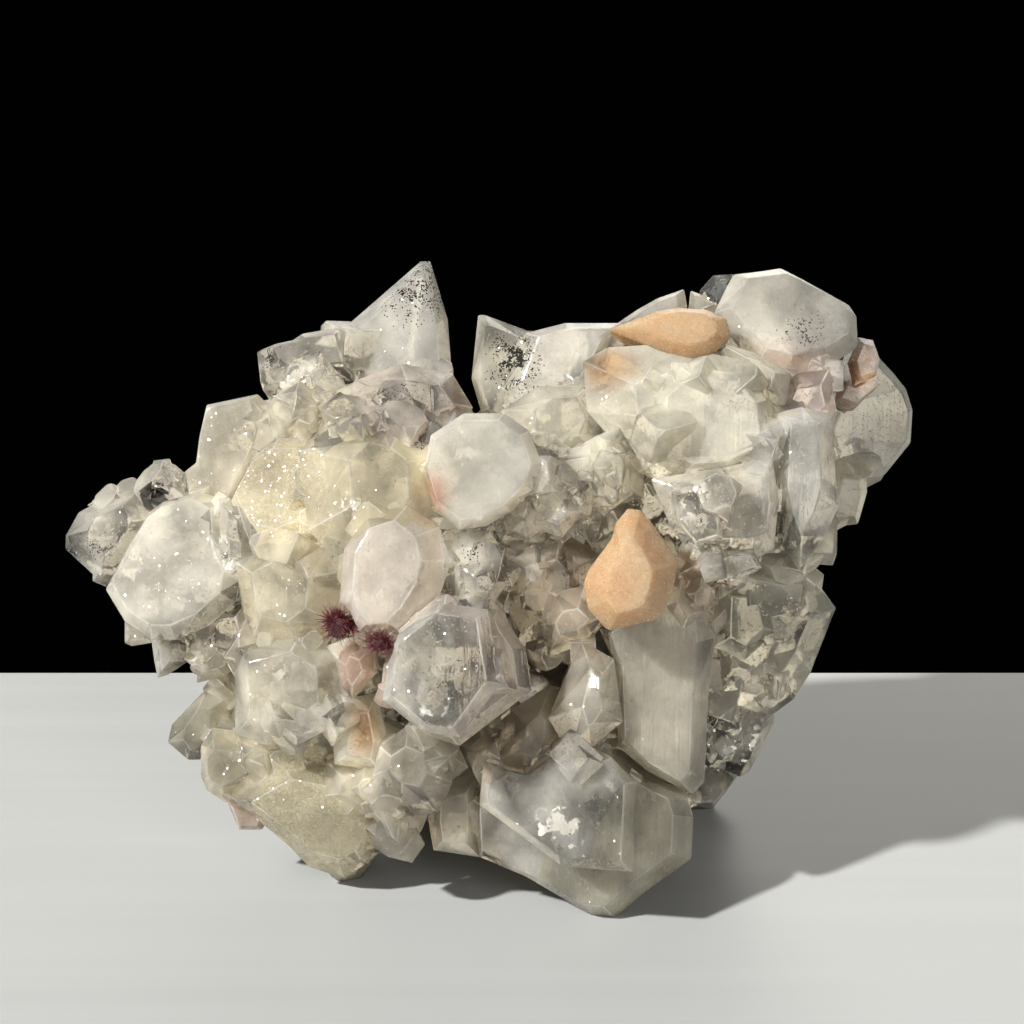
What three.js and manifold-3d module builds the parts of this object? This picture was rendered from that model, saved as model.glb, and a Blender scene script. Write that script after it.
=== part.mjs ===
// Apophyllite cluster with peach stilbite and tufts of dark red needles.
// Millimetres, +Z up, origin under the middle of the cluster's box.
//
// The crystals are laid out on the cluster's show face, which leans back. A place on it is
// [right, up, front] in mm from the cluster's middle. Crystals that grew together overlap and are
// joined in one solid; each other mineral is a solid of its own, seated in a pocket of the host.

import * as THREE from 'three';
import { LoftGeometry } from 'three/addons/geometries/LoftGeometry.js';
import { mergeVertices } from 'three/addons/utils/BufferGeometryUtils.js';
import Module from 'manifold-3d';

const wasm = await Module();
wasm.setup();

// ---------------------------------------------------------------- driving dimensions
const LEAN_BACK_DEG = 16; // the show face leans back by this angle
const SEAT_LEVEL = -43.2; // height of the ground under the show face's middle
const SEAT_GAP = 0.35; // clearance between a mineral and its pocket
const SHORTEST_EDGE = 0.05; // shorter edges are closed up after joining
const PYRAMID_STEEPNESS = 1.245; // apophyllite's pyramid: height over half-diagonal
const GOLDEN_ANGLE = Math.PI * (3 - Math.sqrt(5));

// How a crystal of the show face is shaped where its own entry doesn't say
const USUAL = {
  tilt: [0, 0],
  face: [0.7, 0.7],
  rise: 3,
  shift: [0, 0],
  deep: 16,
  tail: 0.85,
  drift: [0, 0],
};

// ---------------------------------------------------------------- crystals of the show face
// rim    corners of the crystal's widest ring, [right, up]
// at     how far in front of the cluster's middle the ring lies
// tilt   [right, up] slope of the ring: mm forward per mm
// face   [right, up] size of the front facet beside the ring
// rise   how far that facet stands in front of the ring
// shift  [right, up] from the ring's centre to the facet's
// deep   length of the prism behind the ring
// tail   size of the buried end beside the ring
// drift  [right, up] from the ring's centre to the buried end's

const LEFT_ARM = [
  // clear crystal at the arm's tip, its prism lying level
  {
    rim: [
      [-62.5, 7.5], [-60.5, 11], [-58.5, 12], [-51, 14.5], [-49, 10], [-53.5, 3.5], [-57, 1], [-62.5, 5.5],
    ],
    at: -8, tilt: [0.3, -0.1], face: [0.5, 0.55], shift: [1.5, 0.5], deep: 13, drift: [12, -1],
  },
  {
    rim: [[-59.5, 12], [-56.5, 14], [-53, 16], [-50, 15.5], [-50, 11], [-54.5, 10]],
    at: -10, face: [0.6, 0.3], rise: 2, drift: [6, -3],
  },
  { rim: [[-49.5, 15], [-49, 17], [-47.5, 17.5], [-44, 16.5], [-43, 13.5], [-49.5, 11.5]], at: -7, rise: 2 },
  // tall milky prism behind the arm
  {
    rim: [
      [-41, 26.5], [-33.5, 28], [-31.5, 26], [-33, 21], [-37.5, 12], [-44.5, 13], [-44.5, 16.5],
      [-42.5, 18], [-42, 22],
    ],
    at: -5, tilt: [0.1, -0.05], face: [0.84, 0.9], rise: 1.8, drift: [3, -8],
  },
  // broad rounded plate
  {
    rim: [
      [-54.5, 0], [-51.5, -4.5], [-47.5, -7], [-44, -7], [-39.5, -5], [-35.5, -1.5], [-35, 2],
      [-37, 6], [-37.5, 12.5], [-41, 14], [-46.5, 12.5], [-48.5, 11], [-51.5, 6],
    ],
    at: 0, tilt: [0.12, -0.16], face: [0.82, 0.84], rise: 2, shift: [-0.6, 0.6], deep: 12,
  },
  {
    rim: [[-38, 12.5], [-34.5, 11], [-33.5, 6.5], [-33.5, 3.5], [-37, 3], [-38, 8.5]],
    at: 1, tilt: [-0.2, 0], face: [0.4, 0.7], rise: 1.6,
  },
  // small points under the plate
  {
    rim: [[-53, -4.5], [-53, -8], [-52, -8.5], [-49, -8], [-48.5, -5]],
    at: -6, face: [0.6, 0.4], rise: 1, deep: 7, drift: [2, 3],
  },
  {
    rim: [[-49, -7], [-48.5, -10.5], [-48, -13], [-46.5, -12.5], [-43.5, -10.5], [-44, -6]],
    at: -5, face: [0.3, 0.6], rise: 2, deep: 9, drift: [3, 5],
  },
  {
    rim: [[-44, -10], [-42, -11.5], [-42, -13.5], [-38, -12.5], [-36, -11], [-35, -7], [-41, -6.5]],
    at: -3, face: [0.6, 0.45], rise: 2, drift: [3, 4],
  },
  {
    rim: [[-40.5, -2.5], [-34.5, -2], [-33.5, -7], [-35, -10], [-41, -9]],
    at: -1, tilt: [0.1, 0.2], face: [0.5, 0.6], rise: 1.8,
  },
];

const TOP_LEFT = [
  // the tallest point, a gabled prism
  {
    rim: [[-10.5, 48.5], [-9, 48.5], [-6.5, 40], [-6, 34], [-6, 28], [-19.5, 29], [-23, 38]],
    at: -14, tilt: [0.16, 0], face: [0.76, 0.84], rise: 3, shift: [-0.4, -1],
    deep: 11, tail: 0.6, drift: [-1, -9],
  },
  // clear pair left of it
  {
    rim: [
      [-34.5, 35], [-32, 36], [-29.5, 36.5], [-28, 37.5], [-22, 38.5], [-20, 30], [-31, 28.5], [-33.5, 31],
    ],
    at: -12, tilt: [0.1, -0.15], face: [0.7, 0.5], rise: 2.5, shift: [1, 0.8], drift: [5, -5],
  },
  {
    rim: [[-30, 33.5], [-25, 34.5], [-22, 31], [-24, 27], [-29.5, 27.5], [-31.5, 30]],
    at: -8.5, tilt: [0.25, -0.3], face: [0.6, 0.4], rise: 2,
  },
  {
    rim: [[-31.5, 26.5], [-27.5, 29.5], [-20.5, 29.5], [-18, 25], [-23, 20.5], [-30, 21]],
    at: -6, tilt: [0, -0.2], face: [0.5, 0.4], shift: [-1, 1],
  },
  // broad clear crystal below the tallest point
  {
    rim: [
      [-19.5, 30], [-13, 32.5], [-5.5, 31], [-2.5, 26], [-6.5, 23.5], [-14, 21.5], [-18.5, 24], [-21, 27],
    ],
    at: -5, tilt: [-0.05, -0.1], face: [0.62, 0.5], rise: 3.6, shift: [1, 0],
  },
  {
    rim: [[-12, 24.5], [-5, 25.5], [-3, 20.5], [-7, 17.5], [-13, 19]],
    at: -2, tilt: [0, -0.3], face: [0.6, 0.3], rise: 2.4,
  },
  { rim: [[-36.5, 22.5], [-34.5, 24], [-31, 24.5], [-29.5, 21], [-33, 19], [-36, 20]], at: -5, rise: 2 },
];

const LEFT_CENTRE = [
  // cream crystal with a rough glittering face
  {
    rim: [
      [-36.5, 12.5], [-33.5, 19], [-30, 21.5], [-26, 21.5], [-20.5, 17], [-22.5, 12.5], [-24, 7.5],
      [-29, 5.5], [-33.5, 6.5],
    ],
    at: 1, tilt: [0.1, -0.22], face: [0.8, 0.7], rise: 2, shift: [-0.8, 0.8],
  },
  // smooth translucent yellow-green mass
  {
    rim: [
      [-35.5, 4], [-30, 6.5], [-22, 7], [-19.5, 3], [-20.5, -4.5], [-26, -8], [-33, -6.5], [-34.5, -3],
    ],
    at: 4, tilt: [0.15, 0.02], face: [0.5, 0.56], rise: 3.8, shift: [-1, 0.5],
  },
  {
    rim: [
      [-26.5, 19.5], [-20, 24], [-12.5, 22.5], [-7, 19.5], [-6.5, 10], [-12.5, 4], [-20.5, 4], [-25, 8.5],
    ],
    at: 6, tilt: [0, -0.05], face: [0.4, 0.55], rise: 4, shift: [1.5, 1],
  },
  { rim: [[-24, 21], [-23, 25], [-19.5, 26], [-17, 23.5], [-19, 19.5]], at: 1, tilt: [0.2, -0.4] },
  {
    rim: [[-18, 23.5], [-16.5, 26], [-12, 26], [-10, 22], [-14, 19.5]],
    at: 3, tilt: [-0.1, -0.4], face: [0.5, 0.3], rise: 2.4,
  },
  // rounded pinkish crystal in front
  {
    rim: [
      [-19.5, 6], [-16.5, 10.5], [-11, 12], [-6.5, 9], [-5, 4.5], [-6.5, 0], [-9.5, -4], [-12.5, -6.5],
      [-16, -7], [-18.5, -5], [-20, -1],
    ],
    at: 12, tilt: [-0.05, -0.12], face: [0.6, 0.72], rise: 3.4, shift: [-0.8, 0.8],
  },
  {
    rim: [[-20.5, -9], [-19.5, -6.5], [-16, -7.5], [-15, -10.5], [-18.5, -14.5], [-20, -12.5]],
    at: 10, face: [0.4, 0.5], rise: 2.4,
  },
];

const CENTRE = [
  // milky disc with a bright rim
  {
    rim: [
      [-8, 21.5], [-3.5, 24.5], [2, 24.5], [5.5, 22], [7.2, 17.5], [6, 14], [3, 11], [-0.5, 9], [-4, 8.5],
      [-7.5, 11.5], [-9, 16.5],
    ],
    at: 9.5, tilt: [0.05, -0.14], face: [0.86, 0.84], rise: 1.6, shift: [-0.4, 0.2], deep: 12, tail: 0.8,
  },
  // blocky front crystal: its prism, then the front facet standing on it
  {
    rim: [
      [-14.5, -14], [-13.5, -6], [-6.5, 0], [1.5, -1], [3, -4.5], [5, -7.5], [5.8, -13], [-4, -20.5],
      [-8.5, -19],
    ],
    at: 12, tilt: [0, 0.05], face: [0.9, 0.9], rise: 2.5, shift: [-1, 0.4],
  },
  {
    rim: [[-14, -13.8], [-13, -6], [-6.5, -1], [0, -1.8], [1.6, -11.5], [-3.8, -18.6], [-8.5, -18]],
    at: 16.5, tilt: [0.12, -0.06], face: [0.8, 0.84], rise: 1.6, shift: [-0.3, 0.2],
  },
  {
    rim: [[-7, 8], [0, 8.5], [3.8, 2.6], [2, -2], [-4.5, -2.5], [-7, 1.5]],
    at: 8, tilt: [-0.2, -0.2], face: [0.3, 0.45], shift: [-1, 1],
  },
  {
    rim: [[-3.5, 3.5], [0.5, 5], [2.5, 1.5], [0.5, -1.5], [-3, -1]],
    at: 11.5, tilt: [-0.3, 0], face: [0.4, 0.4], rise: 1.6,
  },
  // glassy broken strip right of the disc
  {
    rim: [[0, 10], [4, 12.5], [10, 17], [15, 15.5], [14, 10.5], [7, 8], [1.5, 7]],
    at: 4, tilt: [0.1, -0.2], face: [0.7, 0.4], rise: 2.2,
  },
  {
    rim: [[4, 17], [7.5, 19], [15.5, 21], [17, 15.5], [10, 12.5]],
    at: 1, tilt: [0, 0.2], face: [0.6, 0.4], rise: 2.6,
  },
  {
    rim: [[6, 13], [11, 14.5], [13, 11], [10, 7.5], [5.5, 9]],
    at: 6.5, tilt: [0.3, -0.1], face: [0.4, 0.5], rise: 1.8,
  },
  // brownish crystals below the strip
  {
    rim: [[3, 7.5], [10, 8.5], [15.5, 5], [15.5, -5], [13, -8], [8, -9.5], [3.5, -7], [2, 0]],
    at: 3, face: [0.3, 0.5], rise: 4.5, shift: [0, 0.8],
  },
  {
    rim: [[7, -4.5], [9, 0], [13, 1], [16, -3], [13, -7], [8, -9]],
    at: 7.5, tilt: [0.2, 0.1], face: [0.5, 0.35], rise: 2.4,
  },
  {
    rim: [[3, 4.5], [6.5, 6.5], [9.5, 3.5], [8, -0.5], [4, -0.5]],
    at: 6.5, tilt: [-0.25, -0.2], face: [0.4, 0.4], rise: 1.8,
  },
];

const TOP_MIDDLE = [
  // pointed crystal right of the deep notch
  {
    rim: [[-3, 31], [-2, 40.5], [-1, 40.5], [5.5, 38], [7, 31], [3, 24], [-1.5, 26]],
    at: -14, tilt: [0.1, 0.05], face: [0.74, 0.84], rise: 2.6, shift: [0.4, -0.8],
    deep: 12, tail: 0.6, drift: [2, -8],
  },
  {
    rim: [[5, 37.5], [11, 39], [19.5, 39], [17, 35], [14.5, 31], [10, 24], [3, 23], [1.5, 29]],
    at: -11, tilt: [0, -0.12], face: [0.7, 0.75], shift: [0.5, 0.5],
  },
  {
    rim: [[1.5, 20], [1.5, 25.5], [7, 29], [14.5, 29.5], [17.5, 23], [15.5, 18.5], [8, 17]],
    at: -3, face: [0.45, 0.5], rise: 3.4, shift: [0.5, 1],
  },
  {
    rim: [[14, 20.5], [18.5, 23], [21.5, 20], [21.5, 13], [16, 11.5], [13, 16]],
    at: 3, face: [0.3, 0.5], rise: 2.8,
  },
  {
    rim: [[19, 39.5], [22, 41.5], [25, 43.2], [29, 44.6], [29.5, 42], [27, 37], [20, 36]],
    at: -16, rise: 2, drift: [2, -6],
  },
  { rim: [[30, 44.4], [34, 42.8], [34, 39], [29.5, 38.5]], at: -16, rise: 1.4, deep: 10, drift: [0, -5] },
];

const RIGHT = [
  // big milky crystal: the whole prism, then its right-hand facet
  {
    rim: [
      [13, 32], [16.5, 34], [23.5, 34.5], [34.5, 32.5], [38.5, 29.5], [40, 23.5], [39.5, 19], [32, 15],
      [25, 14.5], [20.5, 16.5], [17, 21], [13.5, 25],
    ],
    at: 4, tilt: [0, -0.16], face: [0.66, 0.62], rise: 4.5, shift: [2.4, -0.8], deep: 18,
  },
  {
    rim: [[21.5, 27.5], [26, 31], [34.5, 30], [38, 26.5], [38.5, 20], [31, 16.5], [24.5, 16.5], [21, 20]],
    at: 7.5, face: [0.74, 0.8], rise: 2, shift: [0.6, 0],
  },
  // clear crystal with a broad bright facet
  {
    rim: [
      [22, 15.5], [31.5, 17], [38.5, 18.5], [39.5, 12.5], [39, 6], [36.5, 4.5], [28.5, 4.5], [25, 8.5],
    ],
    at: 8, tilt: [0, 0.12], face: [0.7, 0.6], rise: 2.4, shift: [0.5, 0.5],
  },
  {
    rim: [[24.5, 14], [31, 14.5], [31.5, 7.5], [28, 6.5], [25.5, 9.5]],
    at: 10.5, tilt: [0.1, -0.15], face: [0.8, 0.84], rise: 1,
  },
  {
    rim: [[28, 5.5], [36, 6], [37, 3.5], [33, 1.5], [28.5, 2.5]],
    at: 9.5, tilt: [0, -0.5], face: [0.84, 0.6], rise: 1.4,
  },
  // tall clear crystal, its point downwards
  {
    rim: [
      [39, 24.5], [43, 25.5], [47, 24.5], [47.5, 21], [48, 14.5], [48.5, 12], [46.5, 7.5], [43, 2.8],
      [40.5, 6.5], [38.5, 12.5],
    ],
    at: 5, tilt: [-0.06, 0.1], face: [0.45, 0.7], rise: 3, shift: [-0.8, 1.2],
  },
  {
    rim: [[36.5, 4.5], [42.5, 7.5], [48.2, 5.5], [46.5, 3.2], [42.5, -0.8], [41, -2.5], [38, 0]],
    at: -1, face: [0.5, 0.4], rise: 2.6, drift: [-3, 4],
  },
  // yellow-green crystal behind
  {
    rim: [[49.5, 7], [53, 9], [54.8, 9.2], [55.2, 10.5], [56.2, 14], [56, 18], [51, 18.5], [49, 12]],
    at: -14, face: [0.5, 0.6], rise: 2.6, drift: [-4, 2],
  },
  // rounded disc at the far right
  {
    rim: [
      [58.5, 35], [61.2, 32.2], [63.2, 29.8], [64.2, 26.5], [63.8, 21.5], [60, 17], [58.5, 15.5],
      [55, 14.5], [51.5, 16], [50, 23.5], [53.5, 31],
    ],
    at: -18, tilt: [-0.18, -0.05], face: [0.82, 0.82], rise: 1.8, deep: 9, tail: 0.6, drift: [-7, 0],
  },
  // large rounded plate at the top right
  {
    rim: [
      [32.5, 40], [34.5, 44], [35.5, 45.8], [39.5, 46.3], [42.5, 46.8], [45.2, 45.4], [52.5, 41.2],
      [53.5, 39.5], [53.5, 35], [49, 32], [43, 30.5], [38.5, 32], [35, 36],
    ],
    at: -8, tilt: [-0.05, -0.22], face: [0.8, 0.74], rise: 2.6, shift: [0.4, 0.7], tail: 0.4, drift: [-2, -5],
  },
  {
    rim: [[45.5, 48.2], [49.5, 49.3], [50.8, 49.2], [52.6, 45.4], [55, 43.4], [55.4, 38], [49, 38], [45, 43]],
    at: -18, face: [0.6, 0.7], rise: 2.4, deep: 11, tail: 0.5, drift: [-4, -5],
  },
  {
    rim: [[31.5, 44.5], [33.5, 46.8], [36.5, 47], [38, 42], [33.5, 38.5], [31, 40.5]],
    at: -17, face: [0.5, 0.6], rise: 1.6, drift: [1, -6],
  },
  {
    rim: [[41.5, 30.5], [48.5, 31.5], [49.5, 25], [48, 23.5], [42, 23], [40, 27]],
    at: -2, tilt: [-0.1, -0.2], face: [0.5, 0.45], rise: 2.4,
  },
  {
    rim: [[32, 35], [37.5, 33.5], [42.5, 30.5], [41, 24], [35.5, 29]],
    at: 1, tilt: [-0.1, -0.3], face: [0.4, 0.5],
  },
];

const LOWER_RIGHT = [
  // tall striated prism
  {
    rim: [
      [15, -5], [23, -0.5], [30.5, 1], [31.2, -6.5], [30.3, -15], [29.8, -26.5], [28.2, -28.2], [22, -25],
      [17.8, -21.5], [17.3, -10],
    ],
    at: 5, tilt: [-0.12, 0.02], face: [0.74, 0.88], rise: 2.6, shift: [-1, 0.5], deep: 18, drift: [2, 2],
  },
  {
    rim: [[24.5, 4.5], [29, 6.5], [32, 2], [31.5, -4], [26, -7], [23, -2.5]],
    at: 6, tilt: [-0.2, 0.1], face: [0.45, 0.5],
  },
  // greenish facets right of it
  {
    rim: [
      [31, 3], [39, 3], [47, 3.5], [47.6, 0.5], [50.2, -3], [47.2, -10.5], [46.6, -12.2], [44, -16.2],
      [40.4, -18.8], [31, -15],
    ],
    at: -6, tilt: [-0.14, 0.04], face: [0.6, 0.55], rise: 4, shift: [-1.5, 0.5], drift: [-4, 4],
  },
  {
    rim: [[32, 1.5], [39, 1], [41, -6], [36, -10], [31.5, -8]],
    at: -1, tilt: [-0.3, -0.1], face: [0.5, 0.6], rise: 2.4,
  },
  {
    rim: [[40, 0.5], [46, 1], [47.5, -3.5], [43, -9], [39, -5]],
    at: -4, tilt: [-0.2, 0.3], face: [0.5, 0.5], rise: 2.4,
  },
  {
    rim: [[33, -10], [40, -9], [43.5, -14], [38.5, -18], [33, -16]],
    at: -5, tilt: [-0.15, 0.25], face: [0.6, 0.4], rise: 2.6,
  },
  // clear sparkling crystals at the back foot
  {
    rim: [[32.5, -17], [41, -16.5], [43.2, -20], [43.2, -21.2], [39.5, -28.6], [38, -29.6], [32.5, -27]],
    at: -20, face: [0.5, 0.6], rise: 3.4, drift: [-4, 4],
  },
  {
    rim: [[31, -27], [38.2, -28.2], [39.6, -30.2], [38.6, -31.8], [35, -36.4], [30, -37], [28, -32]],
    at: -31, face: [0.7, 0.6], rise: 4, deep: 9, drift: [-4, 5],
  },
  // crystals between the tall prism and the front block
  {
    rim: [[8, -17], [12.5, -6.5], [17, -9], [18.2, -17.5], [14, -21], [11, -22]],
    at: 9, face: [0.25, 0.5], shift: [0.5, 1],
  },
  {
    rim: [[-0.5, -24], [3, -16.5], [8.5, -13], [11, -15], [9.5, -23], [5.5, -26]],
    at: 5, tilt: [0.1, -0.2], face: [0.3, 0.45], rise: 3.4,
  },
  // large bottom crystal: the whole body, then its front facet
  {
    rim: [
      [-1.8, -31], [-1.2, -24.5], [5, -25.5], [10.5, -22.5], [17.5, -22.5], [22.5, -26.5], [27.6, -29],
      [28.4, -31.5], [28.2, -37.5], [21.5, -42.5], [17.6, -46], [14.4, -45.6], [5, -40], [-1.5, -37.2],
    ],
    at: 3, tilt: [0, 0.1], face: [0.88, 0.9], rise: 3, shift: [-1.4, 1], deep: 18, tail: 0.75, drift: [2, 8],
  },
  {
    rim: [
      [-1.4, -29], [-0.8, -23.2], [4.8, -24.4], [8.6, -21.4], [14.4, -21.2], [16.6, -22.2], [20, -25.6],
      [19.4, -37.6], [9.8, -37],
    ],
    at: 9, tilt: [0.1, -0.08], face: [0.86, 0.86], rise: 1.6, shift: [-0.4, 0.2],
  },
  {
    rim: [[-8.5, -27.5], [-1.5, -25.5], [-1, -31], [-1.5, -37.6], [-8, -36.6], [-8.8, -32]],
    at: 1, face: [0.5, 0.6], drift: [2, 4],
  },
];

const LOWER_LEFT = [
  {
    rim: [
      [-47.2, -22.6], [-46.6, -20], [-41.5, -14.8], [-37, -15], [-39, -23], [-42.5, -25.2], [-44.2, -25.2],
    ],
    at: -8, face: [0.4, 0.6], rise: 2.6, drift: [7, 3],
  },
  {
    rim: [[-41.6, -22.5], [-40, -20], [-32, -21], [-32, -27], [-38, -30.8], [-40.7, -29], [-41.6, -27]],
    at: -4, face: [0.6, 0.5], drift: [5, 4],
  },
  // golden crystal with a rough glittering face
  {
    rim: [
      [-37.8, -29.2], [-30, -24], [-17, -27], [-15.8, -35.6], [-18, -39.6], [-21, -41.6], [-26, -40],
      [-28.8, -37],
    ],
    at: -3, tilt: [0.05, 0.14], face: [0.74, 0.66], rise: 3.4, shift: [0.6, 1], deep: 14, drift: [2, 5],
  },
  {
    rim: [[-23, -36], [-18, -35], [-16.2, -38.6], [-19, -42.6], [-22.4, -43.4], [-25.2, -40]],
    at: -8.5, face: [0.6, 0.6], deep: 10, drift: [2, 5],
  },
  {
    rim: [[-38.6, -30.5], [-32, -31], [-33.2, -35.2], [-36.6, -35.2]],
    at: -7, rise: 1.5, deep: 8, drift: [3, 4],
  },
  // broad clear crystal above it
  {
    rim: [[-35.5, -20], [-35.5, -8], [-26, -5.5], [-20, -9], [-19.5, -16.5], [-26.5, -20.5], [-31, -21.5]],
    at: 4, tilt: [0.1, 0], face: [0.6, 0.64], rise: 3.2, shift: [-0.6, 0.6],
  },
  {
    rim: [[-29, -14], [-21.5, -13], [-19.5, -17.5], [-26.5, -21], [-29.5, -18.5]],
    at: 6.5, tilt: [0, -0.3], face: [0.8, 0.7], rise: 1.2,
  },
  // blades and a rounded crystal at the foot of the left half
  {
    rim: [[-18, -26], [-11.5, -22.5], [-7.6, -29], [-9.5, -33.4], [-11.2, -35.6], [-13.4, -34.2], [-17, -30]],
    at: 3, face: [0.25, 0.6], rise: 2.8,
  },
  {
    rim: [[-17.5, -27], [-14.5, -24], [-11, -31], [-11.6, -35.2], [-13.6, -33.6]],
    at: 6.5, tilt: [-0.3, 0], face: [0.5, 0.8], rise: 1,
  },
  {
    rim: [[-15, -21], [-11, -18], [-6, -20.5], [-5, -26], [-7, -30], [-12, -29], [-16, -25]],
    at: 8, face: [0.5, 0.45], rise: 2.8, shift: [-0.6, 0.8],
  },
  {
    rim: [[-22, -15], [-15.5, -14], [-14, -21], [-15, -25], [-21.5, -24]],
    at: 5, tilt: [0, 0.1], face: [0.5, 0.6], rise: 2.4,
  },
  {
    rim: [[-23, -24], [-14.5, -22], [-13.5, -30], [-17.5, -32], [-23.5, -29]],
    at: 1, face: [0.5, 0.5], rise: 2.6,
  },
  { rim: [[-18, -35], [-17, -33], [-14, -32.6], [-15.6, -36.4]], at: -3, rise: 1.4, deep: 8, drift: [1, 4] },
];

// ---------------------------------------------------------------- pointed crystals, apophyllite's own form
// tip, the way it points, its two widths, its length and how much of the point a flat end takes off

const POINTED = [
  // clear crystals at the back of the left arm
  { tip: [-52, 8, -18], points: [-0.9, 0.1, -0.6], wide: [8, 7], long: 14, blunt: 0.35 },
  { tip: [-46.5, 11, -19], points: [-0.4, 0.4, -0.8], wide: [8, 7], long: 15, blunt: 0.25 },
  { tip: [-46, -3, -18], points: [-0.4, -0.4, -0.8], wide: [8, 7], long: 15, blunt: 0.3 },
  // crystals that the cluster's back stands on
  { tip: [-12, -36.5, -34], points: [-0.35, -1, -0.3], wide: [13, 11], long: 20, blunt: 0.55, turn: 0.5 },
  { tip: [0, -35, -39], points: [0.1, -1, -0.7], wide: [12, 13], long: 20, blunt: 0.5, turn: 0.2 },
  { tip: [16, -36, -38], points: [0.25, -1, -0.25], wide: [14, 12], long: 20, blunt: 0.6, turn: 0.9 },
  { tip: [27, -34, -34], points: [0.6, -1, -0.2], wide: [11, 10], long: 20, blunt: 0.4, turn: 0.3 },
];

// ---------------------------------------------------------------- the mass that the crystals grew from
// centre and half sizes, and the crystals on its back: how many, how wide and long, how far they
// stand out

const MASS = [
  { centre: [-12, 3, -14], half: [28, 26, 20], crystals: 12, wide: [10, 16], long: 22, stands: [3, 8] },
  { centre: [25, 15, -18], half: [23, 22, 19], crystals: 12, wide: [10, 15], long: 22, stands: [3, 7] },
  { centre: [-43, 4, -11], half: [9, 9, 7], crystals: 4, wide: [6, 8], long: 10, stands: [1, 3] },
  { centre: [9, -20, -17], half: [24, 18, 21], crystals: 9, wide: [9, 14], long: 20, stands: [1, 4] },
  { centre: [-27, -18, -12], half: [14, 16, 14], crystals: 6, wide: [7, 10], long: 16, stands: [1, 4] },
];
const BACK_BLUNT = [0.15, 0.6]; // how much of a back crystal's point its flat end takes off

// ---------------------------------------------------------------- small crystals in the gaps
// middle of the patch, its half sizes, how many, and their widths

const DRUSE = [
  { middle: [-46, 13.5, -5], spread: [2, 1.5], count: 3, wide: [1.8, 2.8] },
  { middle: [-27, 25, -3], spread: [4, 2], count: 3, wide: [2.4, 4] },
  { middle: [-17, 22, 6], spread: [6, 2.5], count: 4, wide: [2, 3.6] },
  { middle: [8, 13.5, 7], spread: [6, 4], count: 6, wide: [2.2, 4] },
  { middle: [8, 20, 2], spread: [4, 3], count: 3, wide: [2.4, 4] },
  { middle: [17, 16, 6], spread: [3, 4], count: 3, wide: [2.2, 3.6] },
  { middle: [29, 2, 9], spread: [2.5, 3], count: 4, wide: [2, 3.4] },
  { middle: [35, -15, -8], spread: [3, 3], count: 3, wide: [2.4, 4.4] },
  { middle: [34, -24, -15], spread: [2, 3], count: 3, wide: [2.4, 4] },
  { middle: [-8, -21, 9], spread: [3, 3], count: 3, wide: [2, 3.6] },
];

// ---------------------------------------------------------------- the other minerals

const STILBITE_FRONT = {
  rim: [
    [18.5, 11.5], [20.2, 11.3], [22, 9.3], [24, 6.4], [25.3, 4.2], [24.6, 1], [23.2, -2.4], [22, -3.4],
    [16.2, -4.8], [15.4, -4.4], [13.2, -2], [12.6, 1.4], [13.2, 3.2], [16.3, 7.4], [16.9, 9.6],
  ],
  at: 14, tilt: [0.04, -0.05], face: [0.5, 0.62], rise: 3.4, shift: [-0.6, -0.6], deep: 8, tail: 0.75,
};

const STILBITE_TOP = {
  rim: [
    [16.5, 37], [20, 38.3], [23.5, 39.7], [26.5, 40.3], [31, 40], [33.8, 38.6], [34.4, 35.8], [32, 33.6],
    [28, 32.6], [24, 33.6], [20.5, 35.4],
  ],
  at: -2, tilt: [0.02, -0.3], face: [0.66, 0.6], rise: 1.6, shift: [0.4, 0.4],
  deep: 7, tail: 0.8, drift: [0, -1],
};

const STILBITE_RIGHT = [
  {
    rim: [[50, 27], [51.2, 29.8], [53, 29.4], [56.6, 31], [56.6, 29.2], [54.6, 27.4], [53, 25.8]],
    at: -9, face: [0.7, 0.6], rise: 2, deep: 9,
  },
  {
    rim: [[54.2, 36.8], [56.4, 36.4], [57.4, 33.6], [56.8, 30.6], [53.4, 29.6], [52.6, 33]],
    at: -11, face: [0.6, 0.66], rise: 2.4, deep: 8,
  },
];

const NEEDLE_TUFTS = [
  { name: 'red_needle_tuft_left', centre: [-19.8, -4.6, 11.5], radius: 3.2, needles: 14 },
  { name: 'red_needle_tuft_right', centre: [-14.6, -6.4, 14.6], radius: 2.4, needles: 10 },
];
const NEEDLE_RADIUS = 0.45; // at a needle's foot
const TUFT_HEART = 0.42; // the solid heart's part of a tuft's radius

// ---------------------------------------------------------------- materials
const APOPHYLLITE = new THREE.MeshStandardMaterial({ color: 0xd6d0bd, roughness: 0.15, metalness: 0 });
const STILBITE = new THREE.MeshStandardMaterial({ color: 0xe6b180, roughness: 0.4, metalness: 0 });
const PINK_STILBITE = new THREE.MeshStandardMaterial({ color: 0xdcbca6, roughness: 0.35, metalness: 0 });
const RED_NEEDLES = new THREE.MeshStandardMaterial({ color: 0x6b2c30, roughness: 0.6, metalness: 0 });

// ---------------------------------------------------------------- shared geometry

/** A repeatable stream of numbers from 0 to 1. */
function numbersFrom(seed) {
  let state = seed;
  return () => {
    state = (state + 0x6d2b79f5) | 0;
    let t = Math.imul(state ^ (state >>> 15), 1 | state);
    t = (t + Math.imul(t ^ (t >>> 7), 61 | t)) ^ t;
    return ((t ^ (t >>> 14)) >>> 0) / 4294967296;
  };
}

/** A value between the two ends of a range. */
const between = ([low, high], part) => low + (high - low) * part;

/** A place on the show face, as the group's own X (right), Y (back) and Z (up). */
const place = (right, up, front) => new THREE.Vector3(right, -front, up);

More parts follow.
